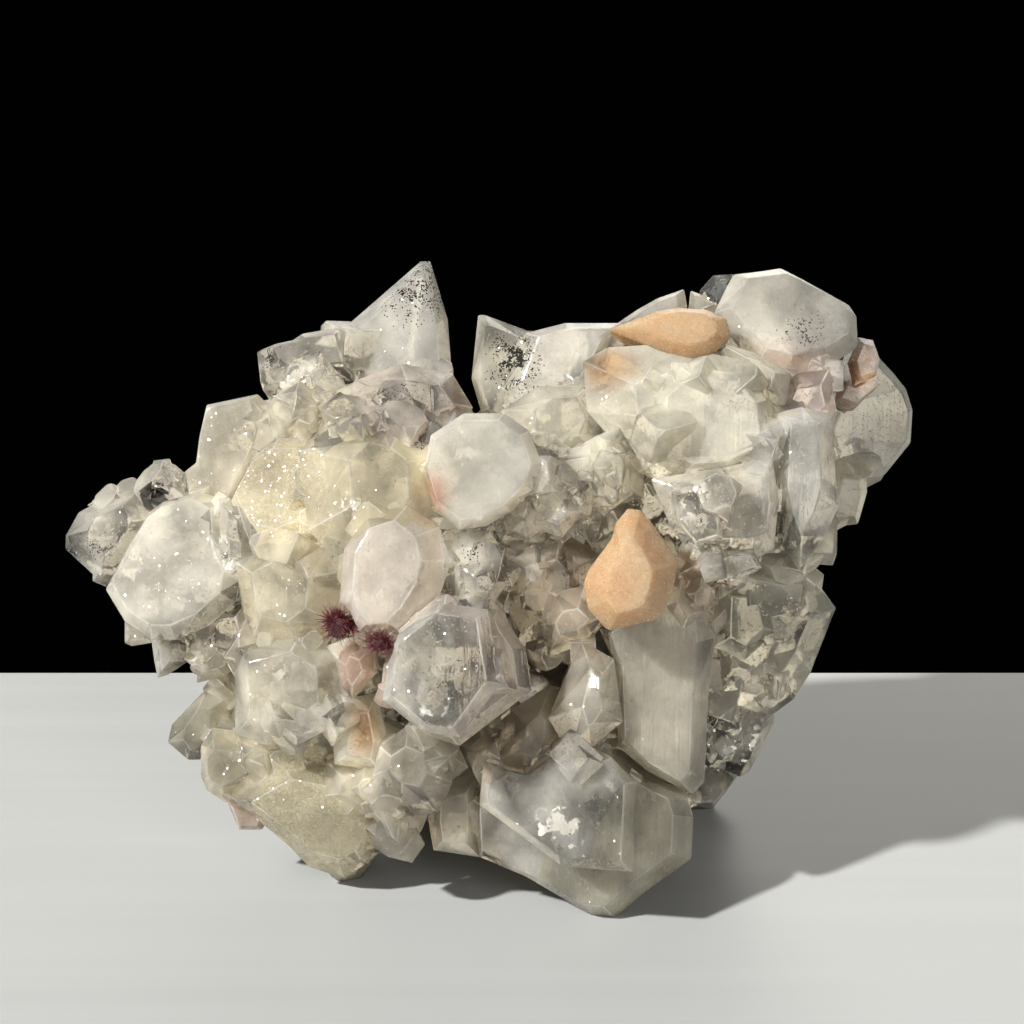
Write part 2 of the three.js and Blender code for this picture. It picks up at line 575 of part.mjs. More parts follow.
/** The solid that a closed geometry bounds. */
function solidOf(geometry) {
  const bare = geometry.index ? geometry.toNonIndexed() : geometry.clone();
  bare.deleteAttribute('normal');
  bare.deleteAttribute('uv');
  const merged = mergeVertices(bare, 1e-4);
  return new wasm.Manifold(
    new wasm.Mesh({
      numProp: 3,
      vertProperties: new Float32Array(merged.attributes.position.array),
      triVerts: new Uint32Array(merged.index.array),
    }),
  );
}

/** A solid's largest shell, so that no hollow is left sealed in it. */
function outerShell(solid) {
  return solid.decompose().reduce((most, shell) => (shell.volume() > most.volume() ? shell : most));
}

/** The geometry of a solid's surface. */
function geometryOf(solid) {
  const mesh = solid.getMesh();
  const geometry = new THREE.BufferGeometry();
  geometry.setAttribute('position', new THREE.BufferAttribute(mesh.vertProperties, 3));
  geometry.setIndex(new THREE.BufferAttribute(mesh.triVerts, 1));
  return geometry;
}

/** A solid as one surface, with the edges too short to matter closed up. */
const tidied = (solid) => solid.asOriginal().simplify(SHORTEST_EDGE);

/** Several solids joined. */
const joined = (solids) => tidied(wasm.Manifold.union(solids));

/** One ring of a faceted crystal: its rim, scaled about its centre, moved and set at a depth. */
function ring({ rim, tilt }, centre, [wide, high], [right, up], front, swell) {
  return rim.map(([x, y]) => {
    const out = new THREE.Vector2((x - centre.x) * wide, (y - centre.y) * high);
    out.setLength(out.length() + swell).add(new THREE.Vector2(right, up));
    return place(centre.x + out.x, centre.y + out.y, front + out.x * tilt[0] + out.y * tilt[1]);
  });
}

/** A crystal's entry filled in, with its rim running anticlockwise, and the rim's centre. */
function filledIn(entry) {
  const outline = entry.rim.map(([x, y]) => new THREE.Vector2(x, y));
  const rim = THREE.ShapeUtils.area(outline) < 0 ? [...entry.rim].reverse() : entry.rim;
  const centre = outline.reduce((sum, corner) => sum.add(corner), new THREE.Vector2());
  return { crystal: { ...USUAL, ...entry, rim }, centre: centre.divideScalar(rim.length) };
}

/** A crystal of the show face: buried end, rim and front facet, lofted. */
function facetedCrystal(entry) {
  const { crystal, centre } = filledIn(entry);
  const { at, face, rise, shift, deep, tail, drift } = crystal;
  const sections = [
    ring(crystal, centre, [tail, tail], drift, at - deep, 0),
    ring(crystal, centre, [1, 1], [0, 0], at, 0),
    ring(crystal, centre, face, shift, at + rise, 0),
  ];
  return solidOf(new LoftGeometry(sections, { capStart: true, capEnd: true }));
}

/** The pocket that seats a faceted crystal: its buried half, a gap larger, open to the front. */
function crystalPocket(entry) {
  const { crystal, centre } = filledIn(entry);
  const { at, rise, deep, tail, drift } = crystal;
  const sections = [
    ring(crystal, centre, [tail, tail], drift, at - deep - SEAT_GAP, SEAT_GAP),
    ring(crystal, centre, [1, 1], [0, 0], at, SEAT_GAP),
    ring(crystal, centre, [1, 1], [0, 0], at + 4 * rise, SEAT_GAP),
  ];
  return solidOf(new LoftGeometry(sections, { capStart: true, capEnd: true }));
}

/** A square prism ended by apophyllite's steep pyramid, pointing one way from its tip. */
function pointedCrystal({ tip, points, wide, long, blunt, turn = 0 }) {
  const height = (wide[0] + wide[1]) * 0.5 * PYRAMID_STEEPNESS;
  const flatEnd = height * (1 - blunt);
  const reach = height + 2 * long;
  const prism = new THREE.BoxGeometry(wide[0], wide[1], long).translate(0, 0, flatEnd - long / 2);
  const pyramid = new THREE.ConeGeometry(reach / PYRAMID_STEEPNESS, reach, 4).rotateX(Math.PI / 2);
  pyramid.translate(0, 0, height - reach / 2);
  const heading = place(...points).normalize();
  const turned = new THREE.Quaternion().setFromAxisAngle(new THREE.Vector3(0, 0, 1), turn);
  const aimed = new THREE.Quaternion().setFromUnitVectors(new THREE.Vector3(0, 0, 1), heading);
  const pose = new THREE.Matrix4().compose(
    place(...tip).addScaledVector(heading, -flatEnd),
    aimed.multiply(turned),
    new THREE.Vector3(1, 1, 1),
  );
  return solidOf(prism.applyMatrix4(pose)).intersect(solidOf(pyramid.applyMatrix4(pose)));
}

// ---------------------------------------------------------------- the host

/** A blocky lump of the mass, hidden behind the crystals. */
function lump({ centre, half }) {
  const block = new THREE.DodecahedronGeometry(1).scale(half[0], half[2], half[1]);
  return solidOf(block.translate(...place(...centre)));
}

/** Crystals that cover the back of one lump, fanning out from its centre. */
function backCrystals({ centre, half, crystals, wide, long, stands }, random) {
  return Array.from({ length: crystals }, (_, i) => {
    const front = 0.05 - ((i + 0.5) / crystals);
    const across = Math.sqrt(1 - front * front);
    const angle = i * GOLDEN_ANGLE;
    const way = [across * Math.cos(angle), across * Math.sin(angle), front];
    const beyond = between(stands, random());
    return pointedCrystal({
      tip: way.map((part, axis) => centre[axis] + part * (half[axis] + beyond)),
      points: way.map((part) => part + 0.5 * (random() - 0.5)),
      wide: [between(wide, random()), between(wide, random())],
      long,
      blunt: between(BACK_BLUNT, random()),
      turn: random() * Math.PI,
    });
  });
}

/** A patch of small crystals that point out of the show face every way. */
function druse({ middle, spread, count, wide }, random) {
  return Array.from({ length: count }, (_, i) => {
    const reach = Math.sqrt((i + 0.5) / count);
    const angle = i * GOLDEN_ANGLE;
    const way = [reach * Math.cos(angle), reach * Math.sin(angle)];
    const width = between(wide, random());
    return pointedCrystal({
      tip: [middle[0] + way[0] * spread[0], middle[1] + way[1] * spread[1], middle[2] + 2 * random()],
      points: [way[0] + random() - 0.5, way[1] + random() - 0.5, 1],
      wide: [width, width * (0.8 + 0.4 * random())],
      long: 3 * width,
      blunt: 0.2 + 0.5 * random(),
      turn: random() * Math.PI,
    });
  });
}

/** Everything below the ground that the cluster stands on. */
function ground() {
  const size = 400;
  const block = new THREE.BoxGeometry(size, size, size).translate(0, 0, SEAT_LEVEL - size / 2);
  return solidOf(block.rotateX(THREE.MathUtils.degToRad(LEAN_BACK_DEG)));
}

/** The host: mass, back, show face and small crystals in one solid, with its pockets cut. */
function apophylliteCluster(pockets) {
  const random = numbersFrom(7);
  const showFace = [
    ...LEFT_ARM,
    ...TOP_LEFT,
    ...LEFT_CENTRE,
    ...CENTRE,
    ...TOP_MIDDLE,
    ...RIGHT,
    ...LOWER_RIGHT,
    ...LOWER_LEFT,
  ];
  const host = wasm.Manifold.union([
    ...MASS.map(lump),
    ...MASS.flatMap((mass) => backCrystals(mass, random)),
    ...DRUSE.flatMap((patch) => druse(patch, random)),
    ...POINTED.map(pointedCrystal),
    ...showFace.map(facetedCrystal),
  ]);
  return outerShell(tidied(host.subtract(wasm.Manifold.union([ground(), ...pockets]))));
}

// ---------------------------------------------------------------- needle tufts

/** Straight needles that radiate from one point, mostly out of the show face. */
function needleTuft({ centre, radius, needles }) {
  const middle = place(...centre);
  const heart = new THREE.IcosahedronGeometry(radius * TUFT_HEART).translate(...middle);
  const spikes = Array.from({ length: needles }, (_, i) => {
    const front = 1 - 1.4 * ((i + 0.5) / needles);
    const across = Math.sqrt(1 - front * front);
    const angle = i * GOLDEN_ANGLE;
    const way = place(across * Math.cos(angle), across * Math.sin(angle), front);
    const aimed = new THREE.Quaternion().setFromUnitVectors(new THREE.Vector3(0, 1, 0), way);
    const spike = new THREE.ConeGeometry(NEEDLE_RADIUS, radius, 4).translate(0, radius / 2, 0);
    return spike.applyQuaternion(aimed).translate(...middle);
  });
  return joined([heart, ...spikes].map(solidOf));
}

/** The round hollow that holds a tuft. */
function tuftPocket({ centre, radius }) {
  const hollow = new THREE.IcosahedronGeometry(radius + 2 * SEAT_GAP, 1);
  return solidOf(hollow.translate(...place(...centre)));
}

// ---------------------------------------------------------------- the cluster

/** A named piece of the cluster. */
function piece(name, solid, material) {
  const mesh = new THREE.Mesh(geometryOf(solid), material);
  mesh.name = name;
  return mesh;
}

const pockets = [
  ...[STILBITE_FRONT, STILBITE_TOP, ...STILBITE_RIGHT].map(crystalPocket),
  ...NEEDLE_TUFTS.map(tuftPocket),
];

const cluster = new THREE.Group();
cluster.add(
  piece('apophyllite_cluster', apophylliteCluster(pockets), APOPHYLLITE),
  piece('stilbite_front', facetedCrystal(STILBITE_FRONT), STILBITE),
  piece('stilbite_top', facetedCrystal(STILBITE_TOP), STILBITE),
  piece('stilbite_right', joined(STILBITE_RIGHT.map(facetedCrystal)), PINK_STILBITE),
  ...NEEDLE_TUFTS.map((tuft) => piece(tuft.name, needleTuft(tuft), RED_NEEDLES)),
);

// lean the show face back, then stand the cluster over the origin
cluster.rotation.x = -THREE.MathUtils.degToRad(LEAN_BACK_DEG);
const box = new THREE.Box3().setFromObject(cluster, true);
const middle = box.getCenter(new THREE.Vector3());
cluster.position.set(-middle.x, -middle.y, -box.min.z);

export default cluster;
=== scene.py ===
"""Apophyllite cluster with peach stilbite and tufts of dark red needles, dressed for rendering.

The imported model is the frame. Places are written as [right, up, front] in millimetres on the show face,
which leans back, or in metres in the row frame. Crystals that grew together stay one piece.
"""

import logging
import math
import random
from dataclasses import dataclass, field
from enum import Enum

import bmesh
import bpy
import numpy as np
from mathutils import Matrix, Vector, noise

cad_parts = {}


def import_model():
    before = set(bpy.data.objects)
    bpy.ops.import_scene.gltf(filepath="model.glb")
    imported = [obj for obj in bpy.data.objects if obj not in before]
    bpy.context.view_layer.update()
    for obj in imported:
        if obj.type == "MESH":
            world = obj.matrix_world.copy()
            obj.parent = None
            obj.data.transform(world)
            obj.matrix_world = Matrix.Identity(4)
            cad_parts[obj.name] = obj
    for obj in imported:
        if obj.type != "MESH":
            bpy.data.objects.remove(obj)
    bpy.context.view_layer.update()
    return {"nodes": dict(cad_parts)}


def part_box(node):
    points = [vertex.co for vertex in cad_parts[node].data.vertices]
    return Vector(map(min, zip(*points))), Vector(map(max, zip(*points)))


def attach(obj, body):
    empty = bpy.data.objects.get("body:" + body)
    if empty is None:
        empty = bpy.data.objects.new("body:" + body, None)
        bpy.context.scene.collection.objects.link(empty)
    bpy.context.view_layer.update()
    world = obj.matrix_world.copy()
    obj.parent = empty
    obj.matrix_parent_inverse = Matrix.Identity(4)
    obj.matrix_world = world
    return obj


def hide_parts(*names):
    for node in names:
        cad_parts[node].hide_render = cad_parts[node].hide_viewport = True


log = logging.getLogger("apophyllite")

MM = 0.001
BODY = "root"
MERGE_M = 1e-6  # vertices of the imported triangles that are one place
FLAT_DEG = 1.0  # triangles that lean less than this against each other are one face
SPLIT_PASSES = 4  # each pass halves the edges that are still too long
SOFT_EDGE = 1.35  # how far a soft patch reaches, in its own half sizes
CLOUD_FALL, CLOUD_STEP, CLOUD_LAYERS, CLOUD_CONTRAST = 0.8, 2.1, 4, 0.9

Pair = tuple[float, float]
Triple = tuple[float, float, float]
BMesh = bmesh.types.BMesh
Block = tuple[Matrix, Vector, float]  # what places a unit cube, its middle, and how far it reaches


# ---- the show face


@dataclass(frozen=True)
class ShowFace:
    """The leaning face on which the crystals are laid out."""

    lean_deg: float = 16.0
    middle_mm: Triple = (-0.850, -11.959, 43.2)

    def matrix(self) -> Matrix:
        """Turn show-face millimetres (right, back, up) into row-frame metres."""
        lean = Matrix.Rotation(-math.radians(self.lean_deg), 4, "X")
        return Matrix.Scale(MM, 4) @ Matrix.Translation(self.middle_mm) @ lean

    def place(self, spot: Triple) -> Vector:
        """Turn [right, up, front] in millimetres into a row-frame place in metres."""
        right, up, front = spot
        return self.matrix() @ Vector((right, -front, up))


FACE = ShowFace()


# ---- colours and nodes


def linear(hex_colour: str) -> tuple[float, float, float, float]:
    """Turn an sRGB hex colour into linear RGBA.

    Args:
        hex_colour: Six hex digits after a hash sign.

    Returns:
        Linear red, green and blue, and an alpha of one.
    """
    shares = [int(hex_colour[i : i + 2], 16) / 255 for i in (1, 3, 5)]
    flat = [s / 12.92 if s <= 0.04045 else ((s + 0.055) / 1.055) ** 2.4 for s in shares]
    return (*flat, 1.0)


Feed = object  # what an input takes: a number, a colour, a vector, a socket or a node

MIX_A, MIX_B, MIX_OUT = 6, 7, 2  # the colour sockets of a Mix node
MATH, MAP, MIX = "ShaderNodeMath", "ShaderNodeMapRange", "ShaderNodeMix"
NOISE, CELLS, VECTOR = "ShaderNodeTexNoise", "ShaderNodeTexVoronoi", "ShaderNodeVectorMath"
CHANCE = "ShaderNodeTexWhiteNoise"
ATTRIBUTE, SPLIT, MAPPING = "ShaderNodeAttribute", "ShaderNodeSeparateColor", "ShaderNodeMapping"
BUMP, PRINCIPLED = "ShaderNodeBump", "ShaderNodeBsdfPrincipled"
MIDDLE_GREY = (0.5, 0.5, 0.5)


def add_node(
    tree: bpy.types.NodeTree, kind: str, inputs: dict[int | str, Feed] | None = None, **settings: object
) -> bpy.types.Node:
    """Add a node with its settings, and set or link its inputs.

    Args:
        tree: The node tree.
        kind: The node's type name.
        inputs: Input name or number to a value, to a socket, or to a node whose main output feeds it.
        **settings: The node's own properties.

    Returns:
        The new node.
    """
    node = tree.nodes.new(kind)
    for name, value in settings.items():
        setattr(node, name, value)
    for name, value in (inputs or {}).items():
        if isinstance(value, bpy.types.Node):
            value = value.outputs[MIX_OUT if value.bl_idname == MIX else 0]
        if isinstance(value, bpy.types.NodeSocket):
            tree.links.new(value, node.inputs[name])
        else:
            node.inputs[name].default_value = value
    return node


def new_material(name: str) -> tuple[bpy.types.Material, bpy.types.NodeTree, bpy.types.Node]:
    """Start a material.

    Args:
        name: The material's name.

    Returns:
        The material, its node tree, and a node that gives places in millimetres.
    """
    material = bpy.data.materials.new(name)
    material.use_nodes = True
    tree = material.node_tree
    tree.nodes.clear()
    place = add_node(tree, "ShaderNodeTexCoord").outputs["Object"]
    return material, tree, add_node(tree, VECTOR, {0: place, "Scale": 1 / MM}, operation="SCALE")


def tilted(tree: bpy.types.NodeTree, *places: tuple[bpy.types.Node, Feed]) -> bpy.types.Node:
    """Tilt the surface's normal by a chance amount of its own for each cell, as on broken or drusy faces.

    Args:
        tree: The node tree.
        *places: Cells, each with how far the normal tilts; at one, by up to about 40 degrees.

    Returns:
        A node that gives the tilted normal.
    """
    normal: Feed = add_node(tree, "ShaderNodeNewGeometry").outputs["Normal"]
    for cells, amount in places:
        spread = add_node(tree, VECTOR, {0: cells.outputs["Color"], 1: MIDDLE_GREY}, operation="SUBTRACT")
        lean = add_node(tree, VECTOR, {0: spread, "Scale": amount}, operation="SCALE")
        normal = add_node(tree, VECTOR, {0: normal, 1: lean}, operation="ADD")
    return add_node(tree, VECTOR, {0: normal}, operation="NORMALIZE")


def finish_material(
    tree: bpy.types.NodeTree, shader: bpy.types.Node, absorb: tuple[str, float] | None = None
) -> None:
    """Link a shader to the material's output, with plain absorption if the stuff is clear.

    Args:
        tree: The node tree.
        shader: The surface.
        absorb: The colour that is left after a metre, and how strongly, or nothing.
    """
    inputs: dict[int | str, Feed] = {"Surface": shader}
    if absorb:
        colour, density = absorb
        kind = "ShaderNodeVolumeAbsorption"
        inputs["Volume"] = add_node(tree, kind, {"Color": linear(colour), "Density": density})
    add_node(tree, "ShaderNodeOutputMaterial", inputs)


class Tint(Enum):
    """Body colours of the apophyllite, from one growth zone to another."""

    WHITE = "#EFE9DA"
    CREAM = "#EEE6D1"
    YELLOW = "#ECE0C0"
    GREEN_YELLOW = "#E9DFC3"
    GOLD = "#E4D9B6"
    PINK_WHITE = "#EDE1D5"
    PINK_BROWN = "#E4CCB8"
    BEIGE = "#E3DAC6"
    BROWN = "#E2D2BA"
    GREEN_WHITE = "#ECE6D3"
    GREEN_BEIGE = "#DFD9C2"
    CLEAR = "#F0EADB"
    BLUE_WHITE = "#F0ECE1"
    SMOKE = "#8E9091"


# ---- what the crystals look like


@dataclass(frozen=True)
class Crystal:
    """How one crystal of the cluster looks."""

    spot: Triple  # right, up, front, in millimetres
    reach: float  # its half size, in millimetres
    clear: float  # from 0, milky, to 1, clear
    tint: Tint
    drusy: float = 0.0  # how thickly fine sparkling crystals coat it
    lined: float = 0.0  # how strongly its faces are striated


CRYSTALS = (
    # left arm
    Crystal((-57, 8, -6), 7, 0.75, Tint.CLEAR),
    Crystal((-54.5, 13, -9), 5, 0.7, Tint.CLEAR),
    Crystal((-47, 15, -6), 4, 0.6, Tint.CLEAR, drusy=0.25),
    Crystal((-38, 20, -3.5), 9, 0.14, Tint.CREAM),
    Crystal((-44.5, 3, 1), 11, 0.14, Tint.WHITE),
    Crystal((-35.5, 8, 2), 4, 0.5, Tint.CLEAR),
    Crystal((-51, -7, -5), 3, 0.5, Tint.CREAM),
    Crystal((-46.5, -9.5, -3.5), 4, 0.55, Tint.CLEAR),
    Crystal((-40, -10.3, -1.5), 4.5, 0.45, Tint.CREAM, lined=0.7),
    Crystal((-37, -5.5, 1), 5, 0.55, Tint.BEIGE),
    # top left
    Crystal((-12, 38, -12), 12, 0.36, Tint.BLUE_WHITE),
    Crystal((-27.5, 34, -9.5), 7, 0.6, Tint.CLEAR),
    Crystal((-26.5, 31, -6.5), 4, 0.6, Tint.CLEAR, lined=0.6),
    Crystal((-25, 26, -3), 6, 0.36, Tint.CREAM),
    Crystal((-12, 27.5, -1.5), 9, 0.5, Tint.PINK_WHITE),
    Crystal((-8, 21.5, 0.5), 5, 0.5, Tint.PINK_WHITE),
    Crystal((-33, 22, -3.5), 4, 0.35, Tint.CREAM),
    # left centre
    Crystal((-28.5, 13, 3), 10, 0.16, Tint.YELLOW, drusy=0.8),
    Crystal((-28, 0, 7.5), 10, 0.34, Tint.GREEN_YELLOW),
    Crystal((-15, 14.5, 10), 9, 0.24, Tint.YELLOW),
    Crystal((-21, 23, 2.5), 4, 0.5, Tint.CREAM),
    Crystal((-14, 23.5, 5), 4, 0.5, Tint.PINK_WHITE),
    Crystal((-12.5, 2.5, 15), 9, 0.2, Tint.PINK_WHITE),
    Crystal((-18, -10.5, 12), 4, 0.4, Tint.PINK_BROWN),
    # centre
    Crystal((-1, 16.5, 11), 9, 0.12, Tint.WHITE),
    Crystal((-3, -9, 14), 10, 0.45, Tint.PINK_WHITE, lined=0.5),
    Crystal((-7, -9, 18), 8, 0.45, Tint.BLUE_WHITE),
    Crystal((-1.5, 3.5, 10.5), 5, 0.6, Tint.CLEAR),
    Crystal((-0.5, 1.5, 13), 3, 0.6, Tint.CLEAR),
    Crystal((7, 11.5, 6), 7, 0.5, Tint.CLEAR, drusy=0.5),
    Crystal((10.5, 17, 3), 5, 0.5, Tint.CLEAR, drusy=0.3),
    Crystal((9, 11, 8), 4, 0.5, Tint.CLEAR, drusy=0.4),
    Crystal((9, 0, 7), 9, 0.48, Tint.BROWN),
    Crystal((11.5, -3.5, 9.5), 5, 0.5, Tint.BROWN),
    Crystal((6, 3, 8), 4, 0.5, Tint.BEIGE),
    # top middle
    Crystal((0.5, 34, -11.5), 8, 0.35, Tint.GREEN_WHITE),
    Crystal((10, 32, -9), 10, 0.3, Tint.BLUE_WHITE),
    Crystal((9, 24, 0), 9, 0.36, Tint.GREEN_WHITE),
    Crystal((17.5, 17.5, 5), 5, 0.42, Tint.GREEN_WHITE),
    Crystal((25, 40.5, -15), 5, 0.5, Tint.CLEAR),
    Crystal((32, 41.5, -15), 3, 0.45, Tint.CREAM),
    # right
    Crystal((26.5, 25, 8), 13, 0.2, Tint.GREEN_WHITE),
    Crystal((31, 10.5, 11), 8, 0.5, Tint.CLEAR),
    Crystal((32.5, 4, 11), 4, 0.45, Tint.CLEAR, lined=0.6),
    Crystal((43.5, 14.5, 8), 9, 0.4, Tint.BLUE_WHITE, lined=0.4),
    Crystal((43, 3, 1.5), 6, 0.45, Tint.GREEN_WHITE),
    Crystal((53, 13, -12), 5, 0.26, Tint.GREEN_YELLOW),
    Crystal((57.5, 24.5, -17), 10, 0.28, Tint.GREEN_WHITE),
    Crystal((43.5, 38.5, -6), 11, 0.16, Tint.WHITE),
    Crystal((50.5, 44.5, -16), 6, 0.3, Tint.WHITE),
    Crystal((34.5, 43.5, -16), 4, 0.85, Tint.SMOKE),
    Crystal((45, 27, 0), 5, 0.3, Tint.PINK_WHITE),
    Crystal((37, 30, 3), 6, 0.24, Tint.CREAM),
    # lower right
    Crystal((24, -12, 8), 13, 0.3, Tint.BEIGE, lined=1.0),
    Crystal((28, 0, 8), 5, 0.5, Tint.BROWN),
    Crystal((41, -6, -3), 11, 0.42, Tint.GREEN_BEIGE),
    Crystal((36, -4, 1), 5, 0.45, Tint.GREEN_BEIGE),
    Crystal((43.5, -3.5, -2), 5, 0.42, Tint.GREEN_BEIGE),
    Crystal((38, -13, -3), 6, 0.42, Tint.BEIGE),
    Crystal((38, -22.5, -17), 7, 0.6, Tint.CLEAR),
    Crystal((34, -32, -28), 6, 0.5, Tint.BEIGE),
    Crystal((13, -14.5, 11.5), 7, 0.42, Tint.BEIGE),
    Crystal((5, -20, 8), 6, 0.45, Tint.BROWN),
    Crystal((17, -34, 5), 13, 0.34, Tint.GREEN_BEIGE, lined=1.0),
    Crystal((9, -30.5, 11), 11, 0.42, Tint.BLUE_WHITE),
    Crystal((-5, -31, 3.5), 6, 0.42, Tint.BEIGE),
    # lower left
    Crystal((-42, -20, -6), 5, 0.6, Tint.GREEN_BEIGE),
    Crystal((-37, -25, -2), 6, 0.5, Tint.GREEN_YELLOW),
    Crystal((-25, -32, 0), 9, 0.3, Tint.GOLD, drusy=1.0),
    Crystal((-21, -39.5, -6), 5, 0.5, Tint.GOLD),
    Crystal((-35, -33, -6), 3, 0.4, Tint.PINK_BROWN),
    Crystal((-28, -13, 6.5), 9, 0.45, Tint.CREAM),
    Crystal((-25, -17.5, 8), 5, 0.55, Tint.CLEAR),
    Crystal((-12.5, -29.5, 5), 6, 0.42, Tint.BEIGE),
    Crystal((-10.5, -23.5, 10.5), 6, 0.45, Tint.BEIGE),
    Crystal((-18, -20, 7), 5, 0.34, Tint.CREAM),
    Crystal((-19, -27, 3), 5, 0.4, Tint.GREEN_YELLOW),
)

BACK_TINTS = (Tint.WHITE, Tint.CREAM, Tint.CLEAR, Tint.GREEN_WHITE, Tint.BEIGE, Tint.PINK_WHITE)


@dataclass(frozen=True)
class Stain:
    """A soft-edged patch of colour that runs through the crystals."""

    spot: Triple
    reach: Triple  # right, up, front, in millimetres
    colour: str
    strength: float


STAINS = (
    Stain((-7.8, 13.3, 11), (2.6, 3.4, 3), "#D98A66", 0.75),
    Stain((-17.1, -18.8, 9), (2.2, 4.4, 5), "#DCA263", 0.85),
    Stain((16.2, 31.2, 5), (4.2, 3.4, 5), "#E3AE78", 0.85),
    Stain((-4.4, 27.5, -3), (2, 2.6, 3), "#B58C79", 0.6),
    Stain((-17, -6.5, 12), (6, 5, 6), "#DDB5A8", 0.4),
    Stain((-18, -10.5, 12), (2.5, 4, 4), "#D2A48C", 0.4),
    Stain((42.5, 32, -4), (8, 3.4, 5), "#E3C6B6", 0.7),
    Stain((46, 27.5, 0), (5, 4, 6), "#E2BFB0", 0.6),
    Stain((28.3, 1.2, 9), (3, 4.4, 4), "#9C8068", 0.6),
    Stain((9, 0, 8), (6, 7, 6), "#BB9B80", 0.35),
    Stain((-38, -7, 1), (3, 3, 3), "#B39C84", 0.4),
)


@dataclass(frozen=True)
class Patch:
    """A soft-edged patch of small marks inside or on a crystal."""

    spot: Triple
    reach: Triple
    strength: float = 1.0


SPECKS = (
    Patch((-10.5, 44, -11), (5, 5, 4), 0.55),
    Patch((3.2, 33.5, -9), (3.2, 4.6, 4), 1.0),
    Patch((-12.6, 26.8, -1.5), (1.4, 1.2, 3), 0.9),
    Patch((-9.5, 20.4, 5), (1.4, 1.4, 3), 0.9),
    Patch((-3, 5.4, 13), (1.6, 1.4, 3), 0.9),
    Patch((-61.4, 6.2, -8), (1.0, 1.8, 3), 1.0),
    Patch((-56.5, 6, -5), (2.6, 1.6, 3), 0.5),
    Patch((-33, 34.1, -10), (1.4, 2.2, 3), 0.9),
    Patch((45, 37.5, -5), (3, 2, 3), 0.4),
)

# where the crystals glint: broken faces with tilted cells, whose white flakes are partly a painted glint
GLITTER = (
    Patch((-13.8, 24.4, -1), (3.2, 2.6, 4)),
    Patch((-27.8, 31, -7), (2.6, 2.4, 3)),
    Patch((-7.4, -14.2, 17), (2.8, 2.6, 3)),
    Patch((9.3, -32, 11), (3.6, 3.6, 3)),
    Patch((36.9, -23.8, -14), (5.5, 5.5, 5)),
    Patch((7.6, 12.7, 6), (6.5, 3.6, 5)),
    Patch((28, 12.6, 11), (3, 4, 3), 0.7),
    Patch((31.5, 6.1, 10), (4.6, 1.3, 3)),
    Patch((-46.8, 14.6, -6), (2.6, 2.4, 3), 0.8),
    Patch((-37.5, 6.1, 3), (1.8, 2.4, 3), 0.8),
    Patch((-19, 12, 10), (1.6, 1.8, 3), 0.8),
    Patch((14.9, -11.5, 13), (2.6, 2.6, 3), 0.8),
    Patch((-14, 0, 16), (1.2, 1.4, 3), 0.6),
    Patch((-29, -11, 9), (3, 3, 3), 0.6),
)


# ---- finishes


